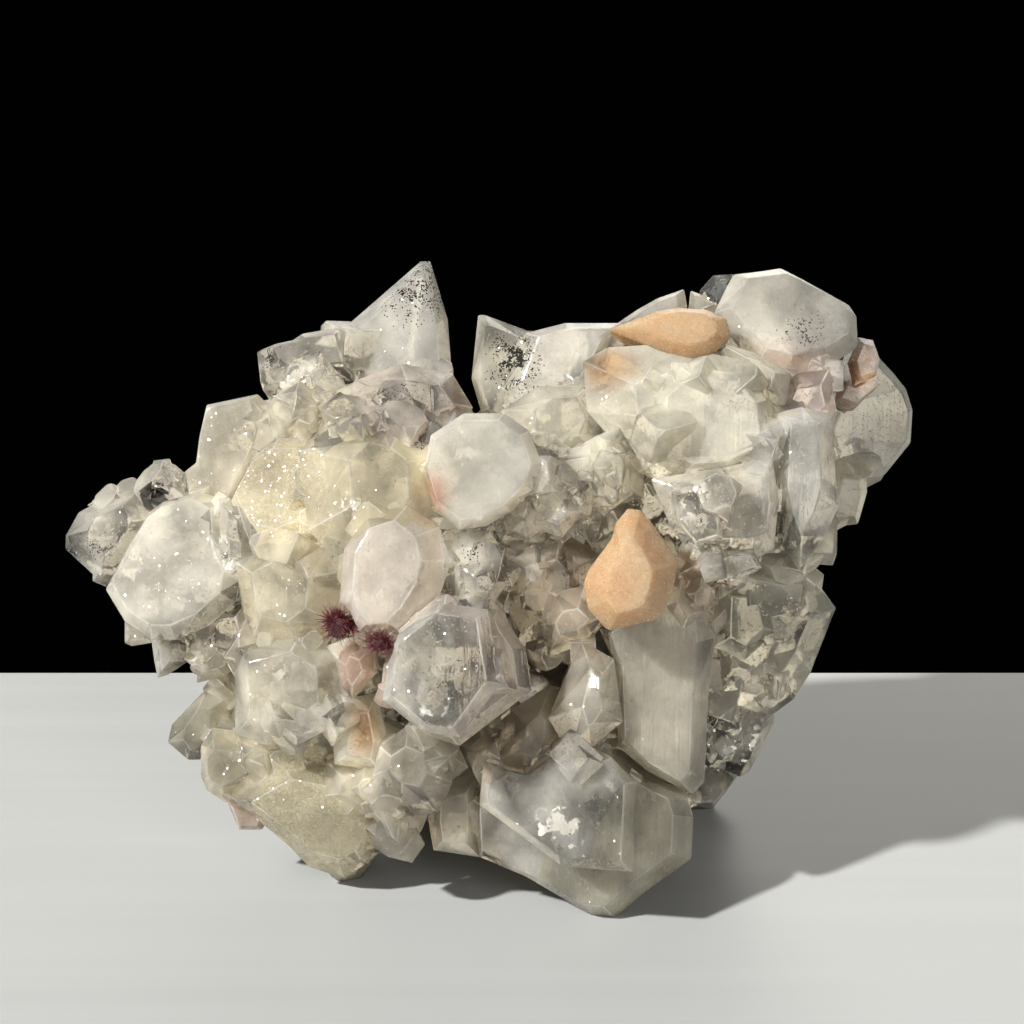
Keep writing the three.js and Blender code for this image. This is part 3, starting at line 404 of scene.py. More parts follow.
@dataclass(frozen=True)
class Apophyllite:
    """Apophyllite: a hydrous sheet silicate, grown from solution in a cavity, clear or milky."""

    name: str = "apophyllite_milky_to_clear"
    ior: float = 1.535
    roughness: float = 0.04
    scatter_mm: float = 9.0
    scatter_weight: float = 0.8
    scatter_tint: Triple = (1.0, 0.9, 0.72)
    absorb: str = "#E8DEC6"
    absorb_per_m: float = 10.0
    # white of the flakes: pearly cleavage, and partly a painted glint
    pearl_and_glint: str = "#F6F4EC"
    speck: str = "#1D1B18"
    haze_per_mm: float = 0.6
    haze_shades: Pair = (0.92, 1.04)
    haze_rough: float = 0.12  # how much duller the faces are over thick haze
    crowded: Pair = (0.42, 0.58)  # haze between which black flecks get frequent
    plane_mm: float = 1.6
    plane_bend: Triple = (4.0, -3.0, 5.0)
    plane_dark: float = -0.22  # how much the darkest cleavage block of a clear crystal loses
    plane_lean: float = 0.08
    broken: Pair = (0.3, 0.7)  # glitter between which a crystal counts as broken
    flakes_above: float = 0.7  # so three in ten blocks of a broken crystal are silvery flakes
    flake_metal: float = 0.8
    grain_mm: float = 0.19
    grain_lean: float = 0.85
    sparkles_above: float = 0.9  # so one grain in ten sparkles on bare faces
    line_mm: Triple = (0.42, 0.42, 20.0)  # how wide and how long the fine lines are
    line_relief: float = 0.16
    face_relief: float = 0.025

    def material(self) -> bpy.types.Material:
        """Build the material from the piece's growth attributes and patterns in millimetres.

        Returns:
            The material.
        """
        # glassy growth faces give sharp glints, and the milky inside lets light go deep and come out
        # everywhere, so that the crystals glow evenly and their valleys stay pale
        material, tree, mm = new_material(self.name)
        tint = add_node(tree, ATTRIBUTE, attribute_name="tint")
        habit = add_node(tree, SPLIT, {0: add_node(tree, ATTRIBUTE, attribute_name="habit")})
        marks = add_node(tree, SPLIT, {0: add_node(tree, ATTRIBUTE, attribute_name="marks")})
        clear, drusy, lined = habit.outputs
        specks_here, glitter_here, _ = marks.outputs

        # haze inside, 1.7 mm across, and blocky cleavage planes, 1.6 mm, that it bends
        clouded = {"Vector": mm, "Scale": self.haze_per_mm, "Detail": 2.0, "Roughness": 0.65}
        haze = add_node(tree, NOISE, clouded)
        bent = add_node(tree, VECTOR, {0: haze, 1: self.plane_bend, 2: mm}, operation="MULTIPLY_ADD")
        steps = add_node(tree, VECTOR, {0: bent, 1: (self.plane_mm,) * 3}, operation="SNAP")
        plane = add_node(tree, CHANCE, {"Vector": steps})
        plane_tone, plane_pick, _ = add_node(tree, SPLIT, {0: plane.outputs["Color"]}).outputs

        # drusy grains: the real coat is finer than this, and is drawn coarser so that it shows
        steps = add_node(tree, VECTOR, {0: mm, 1: (self.grain_mm,) * 3}, operation="SNAP")
        grain = add_node(tree, CHANCE, {"Vector": steps})
        _, dark_pick, bright_pick = add_node(tree, SPLIT, {0: grain.outputs["Color"]}).outputs

        # flakes where a crystal is broken, white as pearly cleavage and as a painted glint, and a sparkle
        # here and there
        low, high = self.broken
        broken = add_node(tree, MAP, {"Value": glitter_here, 1: low, 2: high})
        picked = add_node(tree, MATH, {0: plane_pick, 1: self.flakes_above}, operation="GREATER_THAN")
        flake = add_node(tree, MATH, {0: picked, 1: broken}, operation="MULTIPLY")
        few = add_node(tree, MATH, {0: bright_pick, 1: self.sparkles_above}, operation="GREATER_THAN")
        sparkle = add_node(tree, MATH, {0: few, 1: drusy}, operation="MAXIMUM")

        # black flecks as small as the grains, crowded where the haze is thick
        low, high = self.crowded
        crowd = add_node(tree, MAP, {"Value": haze, 1: low, 2: high})
        chance = add_node(tree, MATH, {0: specks_here, 1: crowd}, operation="MULTIPLY")
        speck = add_node(tree, MATH, {0: dark_pick, 1: chance}, operation="LESS_THAN")

        dark, light = self.haze_shades
        shade = add_node(tree, MAP, {"Value": haze, 1: 0.3, 2: 0.7, 3: dark, 4: light})
        inside = add_node(tree, MATH, {0: plane_tone, 1: clear}, operation="MULTIPLY")
        shade = add_node(tree, MATH, {0: inside, 1: self.plane_dark, 2: shade}, operation="MULTIPLY_ADD")
        colour = add_node(tree, VECTOR, {0: tint, "Scale": shade}, operation="SCALE")
        # the flakes' white is pearly cleavage and partly a painted glint; the flecks' black is their own
        # colour
        for share, mark in ((flake, self.pearl_and_glint), (speck, self.speck)):
            colour = add_node(tree, MIX, {0: share, MIX_A: colour, MIX_B: linear(mark)}, data_type="RGBA")

        solid = add_node(tree, MATH, {0: speck, 1: flake}, operation="MAXIMUM")
        see = add_node(tree, MATH, {0: clear, 1: solid}, operation="SUBTRACT", use_clamp=True)
        dull = {0: haze, 1: self.haze_rough, 2: self.roughness}
        rough = add_node(tree, MATH, dull, operation="MULTIPLY_ADD")
        metal = add_node(tree, MATH, {0: flake, 1: self.flake_metal}, operation="MULTIPLY")

        # relief: fine lines along the prisms, faint on every face, and tilted cells
        lean = (-math.radians(FACE.lean_deg), 0, 0)
        drawn = {"Vector": mm, "Rotation": lean, "Scale": self.line_mm}
        line_place = add_node(tree, MAPPING, drawn, vector_type="TEXTURE")
        lines = add_node(tree, NOISE, {"Vector": line_place, "Scale": 1.0, "Detail": 1.0})
        deep = {0: lined, 1: self.line_relief, 2: self.face_relief}
        height = add_node(tree, MATH, deep, operation="MULTIPLY_ADD")
        height = add_node(tree, MATH, {0: lines, 1: height}, operation="MULTIPLY")
        in_grain = add_node(tree, MATH, {0: sparkle, 1: self.grain_lean}, operation="MULTIPLY")
        leant = {0: clear, 1: self.plane_lean, 2: glitter_here}
        in_plane = add_node(tree, MATH, leant, operation="MULTIPLY_ADD")
        normal = tilted(tree, (grain, in_grain), (plane, in_plane))
        bump = {"Strength": 1.0, "Distance": MM, "Height": height, "Normal": normal}

        shader = add_node(
            tree,
            PRINCIPLED,
            {
                "Base Color": colour,
                "Roughness": rough,
                "IOR": self.ior,
                "Metallic": metal,
                "Transmission Weight": see,
                "Subsurface Weight": self.scatter_weight,
                "Subsurface Radius": self.scatter_tint,
                "Subsurface Scale": self.scatter_mm * MM,
                "Normal": add_node(tree, BUMP, bump),
            },
            subsurface_method="BURLEY",
        )
        finish_material(tree, shader, (self.absorb, self.absorb_per_m))
        return material


@dataclass(frozen=True)
class Stilbite:
    """Stilbite: a zeolite in granular sheaves, coloured by traces of iron."""

    name: str = "stilbite_peach"
    colour: str = "#EDBE8E"
    light: str = "#F2CDA2"
    dark: str = "#DDA673"
    scatter_mm: float = 5.0
    scatter_tint: Triple = (1.0, 0.6, 0.35)
    ior: float = 1.50
    roughness: float = 0.17
    clear: float = 0.34
    cloud_per_mm: float = 0.28
    fine_per_mm: float = 2.2
    grain_per_mm: float = 2.6
    grain_lean: float = 0.2
    pits: float = 0.35
    smoother: float = 0.1  # how far the roughness falls between the pits
    rougher: float = 0.16  # and rises in them
    relief_mm: float = 0.12

    def material(self) -> bpy.types.Material:
        """Build the material from clouds and grains in millimetres.

        Returns:
            The material.
        """
        # pearly grains under a satin face: warm light comes from inside, and glints are small and broken
        material, tree, mm = new_material(self.name)

        # cloudy zones 3.6 mm across, pits 0.45 mm, and grains 0.4 mm, coarser than real so that they show
        clouded = {"Vector": mm, "Scale": self.cloud_per_mm, "Detail": 4.0, "Roughness": 0.6}
        cloud = add_node(tree, NOISE, clouded)
        pitted = {"Vector": mm, "Scale": self.fine_per_mm, "Detail": 3.0, "Roughness": 0.6}
        fine = add_node(tree, NOISE, pitted)
        grain = add_node(tree, CELLS, {"Vector": mm, "Scale": self.grain_per_mm})
        share = add_node(tree, MAP, {"Value": cloud, 1: 0.35, 2: 0.68})
        warm = {0: share, MIX_A: linear(self.colour), MIX_B: linear(self.light)}
        colour = add_node(tree, MIX, warm, data_type="RGBA")
        pit = add_node(tree, MAP, {"Value": fine, 1: 0.6, 2: 0.78, 3: 0.0, 4: self.pits})
        colour = add_node(tree, MIX, {0: pit, MIX_A: colour, MIX_B: linear(self.dark)}, data_type="RGBA")
        low, high = self.roughness - self.smoother, self.roughness + self.rougher
        rough = add_node(tree, MAP, {"Value": fine, 1: 0.3, 2: 0.7, 3: low, 4: high})
        normal = tilted(tree, (grain, self.grain_lean))
        bump = {"Strength": 0.5, "Distance": self.relief_mm * MM, "Height": fine, "Normal": normal}
        shader = add_node(
            tree,
            PRINCIPLED,
            {
                "Base Color": colour,
                "Roughness": rough,
                "IOR": self.ior,
                "Transmission Weight": self.clear,
                "Subsurface Weight": 1.0,
                "Subsurface Radius": self.scatter_tint,
                "Subsurface Scale": self.scatter_mm * MM,
                "Normal": add_node(tree, BUMP, bump),
            },
            subsurface_method="BURLEY",
        )
        finish_material(tree, shader)
        return material


@dataclass(frozen=True)
class RedNeedles:
    """Fine dark red needles that grew side by side in tufts."""

    name: str = "dark_red_needles"
    heart: str = "#4A1A20"
    tip: str = "#B3666C"
    roughness: float = 0.35
    ior: float = 1.6
    streak_per_mm: float = 0.9
    paling: float = 1.6  # how soon the needles turn pale towards their tips

    def material(self) -> bpy.types.Material:
        """Build the material, its colour running along each needle.

        Returns:
            The material.
        """
        # silky: soft gloss, nearly black in the tuft's heart and rosy at the tips, in streaks of 1.1 mm
        material, tree, mm = new_material(self.name)
        along = add_node(tree, ATTRIBUTE, attribute_name="along").outputs["Fac"]
        streak = add_node(tree, NOISE, {"Vector": mm, "Scale": self.streak_per_mm, "Detail": 2.0})
        share = add_node(tree, MATH, {0: along, 1: streak}, operation="MULTIPLY", use_clamp=True)
        share = add_node(tree, MATH, {0: share, 1: self.paling}, operation="MULTIPLY", use_clamp=True)
        pale = {0: share, MIX_A: linear(self.heart), MIX_B: linear(self.tip)}
        colour = add_node(tree, MIX, pale, data_type="RGBA")
        gloss = {"Base Color": colour, "Roughness": self.roughness, "IOR": self.ior}
        finish_material(tree, add_node(tree, PRINCIPLED, gloss))
        return material


@dataclass(frozen=True)
class PaleTable:
    """A pale table top, painted with a brush."""

    name: str = "pale_painted_table"
    colour: str = "#C6C8C8"
    roughness: float = 0.42
    streaks_per_mm: Triple = (0.006, 0.16, 0.001)
    relief_mm: float = 0.1

    def material(self) -> bpy.types.Material:
        """Build the paint, with streaks that run along the table.

        Returns:
            The material.
        """
        # satin paint: an even pale face with faint brush streaks, 6 mm apart and wider than real ones
        material, tree, mm = new_material(self.name)
        drawn = add_node(tree, MAPPING, {"Vector": mm, "Scale": self.streaks_per_mm})
        streak = add_node(tree, NOISE, {"Vector": drawn, "Scale": 1.0, "Detail": 4.0})
        shade = add_node(tree, MAP, {"Value": streak, 1: 0.3, 2: 0.7, 3: 0.95, 4: 1.0})
        colour = add_node(tree, VECTOR, {0: linear(self.colour)[:3], "Scale": shade}, operation="SCALE")
        bump = add_node(tree, BUMP, {"Strength": 0.15, "Distance": self.relief_mm * MM, "Height": streak})
        satin = {"Base Color": colour, "Roughness": self.roughness, "Normal": bump}
        finish_material(tree, add_node(tree, PRINCIPLED, satin))
        return material


# ---- shared mesh work


def merged_copy(node: bpy.types.Object) -> BMesh:
    """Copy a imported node's mesh and close its loose triangles up.

    Args:
        node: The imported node.

    Returns:
        The mesh, with its coplanar triangles joined in flat faces.
    """
    bm = bmesh.new()
    bm.from_mesh(node.data)
    flatten(bm, MERGE_M)
    return bm


def flatten(bm: BMesh, weld: float) -> None:
    """Merge near vertices and join coplanar triangles in flat faces.

    Args:
        bm: The mesh.
        weld: How near two vertices are that become one, in metres.
    """
    bmesh.ops.remove_doubles(bm, verts=bm.verts, dist=weld)
    bmesh.ops.dissolve_limit(bm, angle_limit=math.radians(FLAT_DEG), verts=bm.verts, edges=bm.edges)
    bm.normal_update()


def finer(bm: BMesh, longest: float) -> None:
    """Split faces until no edge is longer than the given length.

    Args:
        bm: The mesh.
        longest: The longest edge to leave, in metres.
    """
    bmesh.ops.triangulate(bm, faces=bm.faces[:])
    for _ in range(SPLIT_PASSES):
        long = [edge for edge in bm.edges if edge.calc_length() > longest]
        bmesh.ops.subdivide_edges(bm, edges=long, cuts=1, use_grid_fill=False)
        bmesh.ops.triangulate(bm, faces=[face for face in bm.faces if len(face.verts) > 3])


def bevel(bm: BMesh, geom: list, offset: float, **settings: object) -> list[bmesh.types.BMFace]:
    """Bevel edges, or corners, with settings that may replace the usual ones.

    Args:
        bm: The mesh.
        geom: The edges or vertices.
        offset: How far the bevel reaches.
        **settings: Other settings of the operator.

    Returns:
        The new faces.
    """
    usual = {"offset_type": "OFFSET", "segments": 1, "profile": 0.5, "affect": "EDGES", "material": -1}
    return bmesh.ops.bevel(bm, geom=geom, offset=offset, **(usual | settings))["faces"]


def placed(name: str, data: bpy.types.ID) -> bpy.types.Object:
    """Put a mesh, a lamp or a camera in the scene.

    Args:
        name: The object's name.
        data: The mesh, lamp or camera.

    Returns:
        The new object.
    """
    thing = bpy.data.objects.new(name, data)
    bpy.context.scene.collection.objects.link(thing)
    return thing


def stand_in(name: str, bm: BMesh) -> bpy.types.Object:
    """Turn a mesh into an object of the scene.

    Args:
        name: The object's name.
        bm: The mesh, which is used up.

    Returns:
        The new object.
    """
    mesh = bpy.data.meshes.new(name)
    bm.to_mesh(mesh)
    bm.free()
    return placed(name, mesh)


def joined(first: BMesh, second: BMesh) -> BMesh:
    """Join two closed meshes in one solid.

    Args:
        first: One mesh, which is used up.
        second: The other, which is used up.

    Returns:
        The mesh of both.
    """
    things = [stand_in("first", first), stand_in("second", second)]
    union = things[0].modifiers.new("union", "BOOLEAN")
    union.operation = "UNION"
    union.solver = "MANIFOLD"
    union.object = things[1]
    whole = things[0].evaluated_get(bpy.context.evaluated_depsgraph_get())
    bm = bmesh.new()
    bm.from_mesh(whole.to_mesh())
    whole.to_mesh_clear()
    for thing in things:
        mesh = thing.data
        bpy.data.objects.remove(thing)
        bpy.data.meshes.remove(mesh)
    return bm


def finished(name: str, bm: BMesh, material: bpy.types.Material) -> bpy.types.Object:
    """Turn a mesh into a piece that rides on the cluster.

    Args:
        name: The piece's name.
        bm: The mesh, which is used up.
        material: The piece's material.

    Returns:
        The new object.
    """
    piece = stand_in(name, bm)
    piece.data.materials.append(material)
    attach(piece, BODY)
    log.info("%s: %d faces", name, len(piece.data.polygons))
    return piece


def corner_vertices(mesh: bpy.types.Mesh) -> np.ndarray:
    """List the vertex at each face corner.

    Args:
        mesh: The mesh.

    Returns:
        One vertex number for each face corner, face after face.
    """
    corners = np.empty(len(mesh.loops), np.int64)
    mesh.loops.foreach_get("vertex_index", corners)
    return corners


def spots_of(mesh: bpy.types.Mesh) -> np.ndarray:
    """List where a mesh's face corners lie on the show face.

    Args:
        mesh: The mesh.

    Returns:
        [right, up, front] in millimetres for each face corner, face after face.
    """
    places = np.empty(len(mesh.vertices) * 3)
    mesh.vertices.foreach_get("co", places)
    inverse = np.array(FACE.matrix().inverted())
    flat = places.reshape(-1, 3) @ inverse[:3, :3].T + inverse[:3, 3]
    return np.stack([flat[:, 0], flat[:, 2], -flat[:, 1]], axis=1)[corner_vertices(mesh)]


def clouds(mesh: bpy.types.Mesh, across_mm: float) -> np.ndarray:
    """Give each face corner a cloudy number.

    Args:
        mesh: The mesh.
        across_mm: How wide the clouds are, in millimetres.

    Returns:
        A number from 0 to 1 for each face corner, face after face.
    """
    wide = across_mm * MM
    heights = [noise.fractal(v.co / wide, CLOUD_FALL, CLOUD_STEP, CLOUD_LAYERS) for v in mesh.vertices]
    return np.clip(0.5 + CLOUD_CONTRAST * np.array(heights), 0.0, 1.0)[corner_vertices(mesh)]


def between(ends: Pair, share: np.ndarray) -> np.ndarray:
    """Go from one number to another.

    Args:
        ends: The number where the share is 0, and the number where it is 1.
        share: How far to go, place by place.

    Returns:
        A number for each share.
    """
    return ends[0] + (ends[1] - ends[0]) * share


def any_way(draw: random.Random) -> Vector:
    """Draw a way in space at random, all ways alike."""
    return Vector((draw.gauss(0, 1), draw.gauss(0, 1), draw.gauss(0, 1)))


def softness(places: np.ndarray, spot: Triple, reach: Triple) -> np.ndarray:
    """Say how deep each place lies in a soft-edged patch.

    Args:
        places: Places as [right, up, front] in millimetres, one a row.
        spot: The patch's middle.
        reach: Its half sizes.

    Returns:
        One at the middle, falling smoothly to none at the patch's edge.
    """
    away = np.sqrt((((places - np.array(spot)) / np.array(reach)) ** 2).sum(axis=1))
    inside = np.clip(SOFT_EDGE - away, 0.0, 1.0)
    return inside * inside * (3 - 2 * inside)


# ---- the host


@dataclass
class SmallCrystals:
    """Smaller crystals that fill the valleys between the large ones, and grew together with them."""

    seed: int = 5
    widths_mm: Pair = (1.3, 6.0)
    small_ones: float = 2.4  # the higher, the more of them are small
    slimness: Pair = (1.0, 1.7)
    squareness: Pair = (0.8, 1.0)
    lean: float = 0.45
    standing_out: Pair = (0.1, 0.55)  # of its width: how far a crystal stands out of its valley
    spacing_mm: float = 2.6
    valley_deg: float = 25.0
    kept: float = 0.42  # the share of the valleys' places that get a crystal
    rounds: int = 7  # crystals of one round don't touch, and each round is joined in one go
    cuts: Pair = (16.0, 5.0)  # what the pyramid takes off an edge, in per cent, and more each round
    weld_mm: float = 0.01
    filler_spot: Triple = (49.0, 30.7, -7.0)
    filler_size: Triple = (3.8, 4.0, 4.6)
    filler_cut: float = 20.0
    guests: tuple[str, ...] = (
        "stilbite_front",
        "stilbite_top",
        "stilbite_right",
        "red_needle_tuft_left",
        "red_needle_tuft_right",
    )

    def grow_on(self, host: BMesh) -> BMesh:
        """Grow the small crystals on the host and join them to it.

        Args:
            host: The large crystals' mesh, which is used up.

        Returns:
            The mesh of them all, its coplanar triangles joined in flat faces.
        """
        right, up, front = self.filler_spot
        at = Matrix.Translation((right, -front, up)) @ Matrix.Diagonal((*self.filler_size, 1))
        filler = (FACE.matrix() @ at, FACE.place(self.filler_spot), 0.0)
        host = joined(host, self.crystals([filler], self.filler_cut))
        first, more = self.cuts
        for number, blocks in enumerate(self.sorted_blocks(self.valleys(host))):
            host = joined(host, self.crystals(blocks, first + more * number))
        flatten(host, self.weld_mm * MM)
        return host

    def valleys(self, bm: BMesh) -> list[tuple[Vector, Vector]]:
        """List places where neighbouring crystals meet in a valley.

        Args:
            bm: The crystals' mesh.

        Returns:
            The places, each with the way out of its valley.
        """
        places = []
        step = self.spacing_mm * MM
        for edge in bm.edges:
            if edge.calc_face_angle_signed(0) < -math.radians(self.valley_deg):
                start, end = (vert.co for vert in edge.verts)
                out = (edge.link_faces[0].normal + edge.link_faces[1].normal).normalized()
                count = int(edge.calc_length() / step) + 1
                places += [(start.lerp(end, (n + 0.5) / count), out) for n in range(count)]
        return places

    def sorted_blocks(self, places: list[tuple[Vector, Vector]]) -> list[list[Block]]:
        """Choose blocks for the small crystals, in rounds in which no two of them touch.

        Args:
            places: Places in the valleys, each with the way out of it.

        Returns:
            For each round, its blocks.
        """
        draw = random.Random(self.seed)
        low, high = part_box("apophyllite_cluster")
        taken = [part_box(name) for name in self.guests]
        rounds: list[list[Block]] = [[] for _ in range(self.rounds)]
        small, large = self.widths_mm
        for spot, out in places:
            if draw.random() > self.kept:
                continue
            wide = (small + (large - small) * draw.random() ** self.small_ones) * MM
            tall = wide * draw.uniform(*self.slimness)
            way = (out + self.lean * any_way(draw)).normalized()
            middle = spot + way * (wide * draw.uniform(*self.standing_out) - tall / 2)
            turn = way.to_track_quat("Z", "Y").to_matrix().to_4x4()
            turn = turn @ Matrix.Rotation(draw.uniform(0, math.pi), 4, "Z")
            reach = 0.5 * math.hypot(math.hypot(wide, wide * self.squareness[0]), tall)
            if any(not low[i] + reach < middle[i] < high[i] - reach for i in range(3)):
                continue
            if any(all(a[i] - reach < middle[i] < b[i] + reach for i in range(3)) for a, b in taken):
                continue
            size = Matrix.Diagonal((wide, wide * draw.uniform(*self.squareness), tall, 1))
            for blocks in rounds:
                if all((middle - other).length > reach + far for _, other, far in blocks):
                    blocks.append((Matrix.Translation(middle) @ turn @ size, middle, reach))
                    break
        return rounds

    def crystals(self, blocks: list[Block], cut: float) -> BMesh:
        """Make square prisms whose upper corners are cut by the faces of a steep pyramid.

        Args:
            blocks: The blocks to make them of.
            cut: How much of each edge the pyramid's faces take off, in per cent.

        Returns:
            The mesh of them all.
        """
        bm = bmesh.new()
        corners = []
        for block, middle, _ in blocks:
            up = block.to_3x3() @ Vector((0, 0, 1))
            made = bmesh.ops.create_cube(bm, size=1.0, matrix=block)
            corners += [vert for vert in made["verts"] if (vert.co - middle).dot(up) > 0]
        bevel(bm, corners, cut, offset_type="PERCENT", affect="VERTICES")
        return bm


@dataclass
class ApophylliteCluster:
    """The host: one mass of crystals, with its chamfered edges, growth plateaus and colours."""

    node: str = "apophyllite_cluster"
    chamfer_mm: float = 0.14
    chamfer_above_deg: float = 20.0
    shortest_chamfer_mm: float = 0.9  # shorter edges stay sharp
    plateau_inset_mm: Pair = (0.35, 0.7)
    plateau_step_mm: Pair = (0.036, 0.09)
    plateau_edge_mm: float = 0.91  # a face with a shorter edge gets no step
    plateau_area_mm2: float = 14.0
    plateau_share: float = 0.4
    longest_edge_mm: float = 3.0
    seed: int = 11
    cloud_mm: float = 7.0
    cloud_tones: Pair = (0.86, 1.0)
    facet_tones: Pair = (0.9, 1.05)
    # painted highlight: the chamfers are whitened in broken patches, as edges that catch the light
    painted_edge_glint_mm: float = 1.6
    painted_edge_glint_shares: Pair = (0.1, 0.8)
    painted_edge_glint_tint: str = "#F6F4EC"
    clearness: Pair = (0.26, 0.86)  # of a crystal that is called milky, and of a clear one
    cloud_clears: Pair = (1.5, 0.8)  # how clearness changes from the thinnest cloud to the thickest
    facet_clears: Pair = (0.75, 1.25)  # and from one face to another
    clearest: float = 0.92
    back_seeds: int = 60
    back_box_mm: tuple[Pair, Pair, Pair] = ((-58, 60), (-42, 46), (-44, -16))
    back_reach_mm: float = 6.0
    back_clear: Pair = (0.12, 0.6)
    back_lined: Triple = (0.0, 0.0, 0.7)
    small: SmallCrystals = field(default_factory=SmallCrystals)

    def build(self, packed: bpy.types.Object, material: bpy.types.Material) -> bpy.types.Object:
        """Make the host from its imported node.

        Args:
            packed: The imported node.
            material: The apophyllite.

        Returns:
            The finished piece.
        """
        bm = self.small.grow_on(merged_copy(packed))
        tone = bm.faces.layers.float.new("facet")
        draw = random.Random(self.seed)
        for face in bm.faces:
            face[tone] = draw.random()
        self.raise_plateaus(bm)
        self.chamfer(bm)
        finer(bm, self.longest_edge_mm * MM)
        layer = bm.faces.layers.int["chamfer"]
        chamfers = np.array([face[layer] for face in bm.faces], float)
        piece = finished(self.node + "_dressed", bm, material)
        self.colour(piece.data, chamfers)
        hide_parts(self.node)
        return piece

    def raise_plateaus(self, bm: BMesh) -> None:
        """Set a shallow growth step just inside the edge of some broad, simple faces.

        Args:
            bm: The mesh.
        """
        draw = random.Random(self.seed)
        area, shortest = self.plateau_area_mm2 * MM * MM, self.plateau_edge_mm * MM
        broad = [
            face
            for face in bm.faces
            if face.calc_area() > area
            and all(loop.is_convex for loop in face.loops)
            and min(edge.calc_length() for edge in face.edges) > shortest
        ]
        for face in broad:
            if draw.random() < self.plateau_share:
                bmesh.ops.inset_individual(
                    bm,
                    faces=[face],
                    thickness=draw.uniform(*self.plateau_inset_mm) * MM,
                    depth=-draw.uniform(*self.plateau_step_mm) * MM,
                    use_even_offset=True,
                )
        bm.normal_update()

    def chamfer(self, bm: BMesh) -> None:
        """Chamfer the crystals' sharp edges and mark the narrow faces that this makes.

        Args:
            bm: The mesh.
        """
        layer = bm.faces.layers.int.new("chamfer")
        sharp = [
            edge
            for edge in bm.edges
            if edge.calc_face_angle_signed(0) > math.radians(self.chamfer_above_deg)
            and edge.calc_length() > self.shortest_chamfer_mm * MM
        ]
        for face in bevel(bm, sharp, self.chamfer_mm * MM, clamp_overlap=False, loop_slide=False):
            face[layer] = 1

    def colour(self, mesh: bpy.types.Mesh, chamfers: np.ndarray) -> None:
        """Write the growth attributes: each crystal's tint and habit, the soft patches, and a painted
        highlight on the chamfers.

        Args:
            mesh: The finished mesh, of triangles.
            chamfers: One for each face that is a chamfer.
        """
        count = len(mesh.polygons)
        at = spots_of(mesh)
        centres = at.reshape(count, 3, 3).mean(axis=1)
        seeds, tints, habits = self.crystal_table()
        away = np.linalg.norm(centres[:, None, :] - seeds[None, :, :3], axis=2) - 0.5 * seeds[None, :, 3]
        own = away.argmin(axis=1)
        tint = np.repeat(tints[own], 3, axis=0)
        habit = np.repeat(habits[own], 3, axis=0)
        for stain in STAINS:
            share = (stain.strength * softness(at, stain.spot, stain.reach))[:, None]
            tint = tint * (1 - share) + np.array(linear(stain.colour)[:3]) * share

        facet = np.empty(count)
        mesh.attributes["facet"].data.foreach_get("value", facet)
        facet = np.repeat(facet, 3)
        cloud = clouds(mesh, self.cloud_mm)
        tint = tint * (between(self.cloud_tones, cloud) * between(self.facet_tones, facet))[:, None]
        # painted highlight: whiten the chamfer faces in broken patches, as bright edges that catch the
        # light
        painted_edge_glint = between(self.painted_edge_glint_shares, clouds(mesh, self.painted_edge_glint_mm))
        painted_edge_glint = (np.repeat(chamfers, 3) * painted_edge_glint)[:, None]
        tint = tint * (1 - painted_edge_glint) + np.array(linear(self.painted_edge_glint_tint)[:3]) * painted_edge_glint
        clear = between(self.clearness, habit[:, 0])
        clear = clear * between(self.cloud_clears, cloud) * between(self.facet_clears, facet)
        habit[:, 0] = np.clip(clear, 0.0, self.clearest)

        marks = np.zeros((count * 3, 3))
        for column, patches in enumerate((SPECKS, GLITTER)):
            for patch in patches:
                share = patch.strength * softness(at, patch.spot, patch.reach)
                marks[:, column] = np.maximum(marks[:, column], share)
        for name, values in (("tint", tint), ("habit", habit), ("marks", marks)):
            attribute = mesh.attributes.new(name, "FLOAT_COLOR", "CORNER")
            whole = np.concatenate([values, np.ones((count * 3, 1))], axis=1)
            attribute.data.foreach_set("color", whole.astype(np.float32).ravel())

    def crystal_table(self) -> tuple[np.ndarray, np.ndarray, np.ndarray]:
        """List the crystals of the show face, and make up more of them for the back.

        Returns:
            Places with reaches, tints, and habits (clear, drusy, lined), one crystal a row.
        """
        rows = [(*c.spot, c.reach) for c in CRYSTALS]
        tints = [linear(c.tint.value)[:3] for c in CRYSTALS]
        habits = [(c.clear, c.drusy, c.lined) for c in CRYSTALS]
        draw = random.Random(self.seed + 1)
        for _ in range(self.back_seeds):
            rows.append((*(draw.uniform(*ends) for ends in self.back_box_mm), self.back_reach_mm))
            tints.append(linear(draw.choice(BACK_TINTS).value)[:3])
            habits.append((draw.uniform(*self.back_clear), 0.0, draw.choice(self.back_lined)))
        return np.array(rows), np.array(tints), np.array(habits)


# ---- the other minerals


@dataclass
class StilbiteLens:
    """A stilbite crystal aggregate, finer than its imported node."""

    node: str
    slot: str
    bevel_mm: float = 0.35
    bevel_above: float = 0.2  # radians
    shortest_bevel_mm: float = 1.5
    longest_edge_mm: float = 0.55
    ripple_mm: float = 0.045
    ripples_mm: Pair = (1.1, 0.5)  # how wide the coarse and the fine ripples are

    def build(self, packed: bpy.types.Object, material: bpy.types.Material) -> bpy.types.Object:
        """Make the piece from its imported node.

        Args:
            packed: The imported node.
            material: The stilbite.

        Returns:
            The finished piece.
        """
        bm = merged_copy(packed)
        sharp = [edge for edge in bm.edges if edge.calc_face_angle_signed(0) > self.bevel_above]
        long = [edge for edge in sharp if edge.calc_length() > self.shortest_bevel_mm * MM]
        bevel(bm, long, self.bevel_mm * MM, segments=2, clamp_overlap=True)
        finer(bm, self.longest_edge_mm * MM)
        bm.normal_update()
        coarse, fine = (across * MM for across in self.ripples_mm)
        for vert in bm.verts:
            grain = noise.noise(vert.co / coarse) + 0.5 * noise.noise(vert.co / fine)
            vert.co -= vert.normal * (0.6 + grain) * self.ripple_mm * MM
        piece = finished(self.node + "_dressed", bm, material)
        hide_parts(self.node)
        return piece


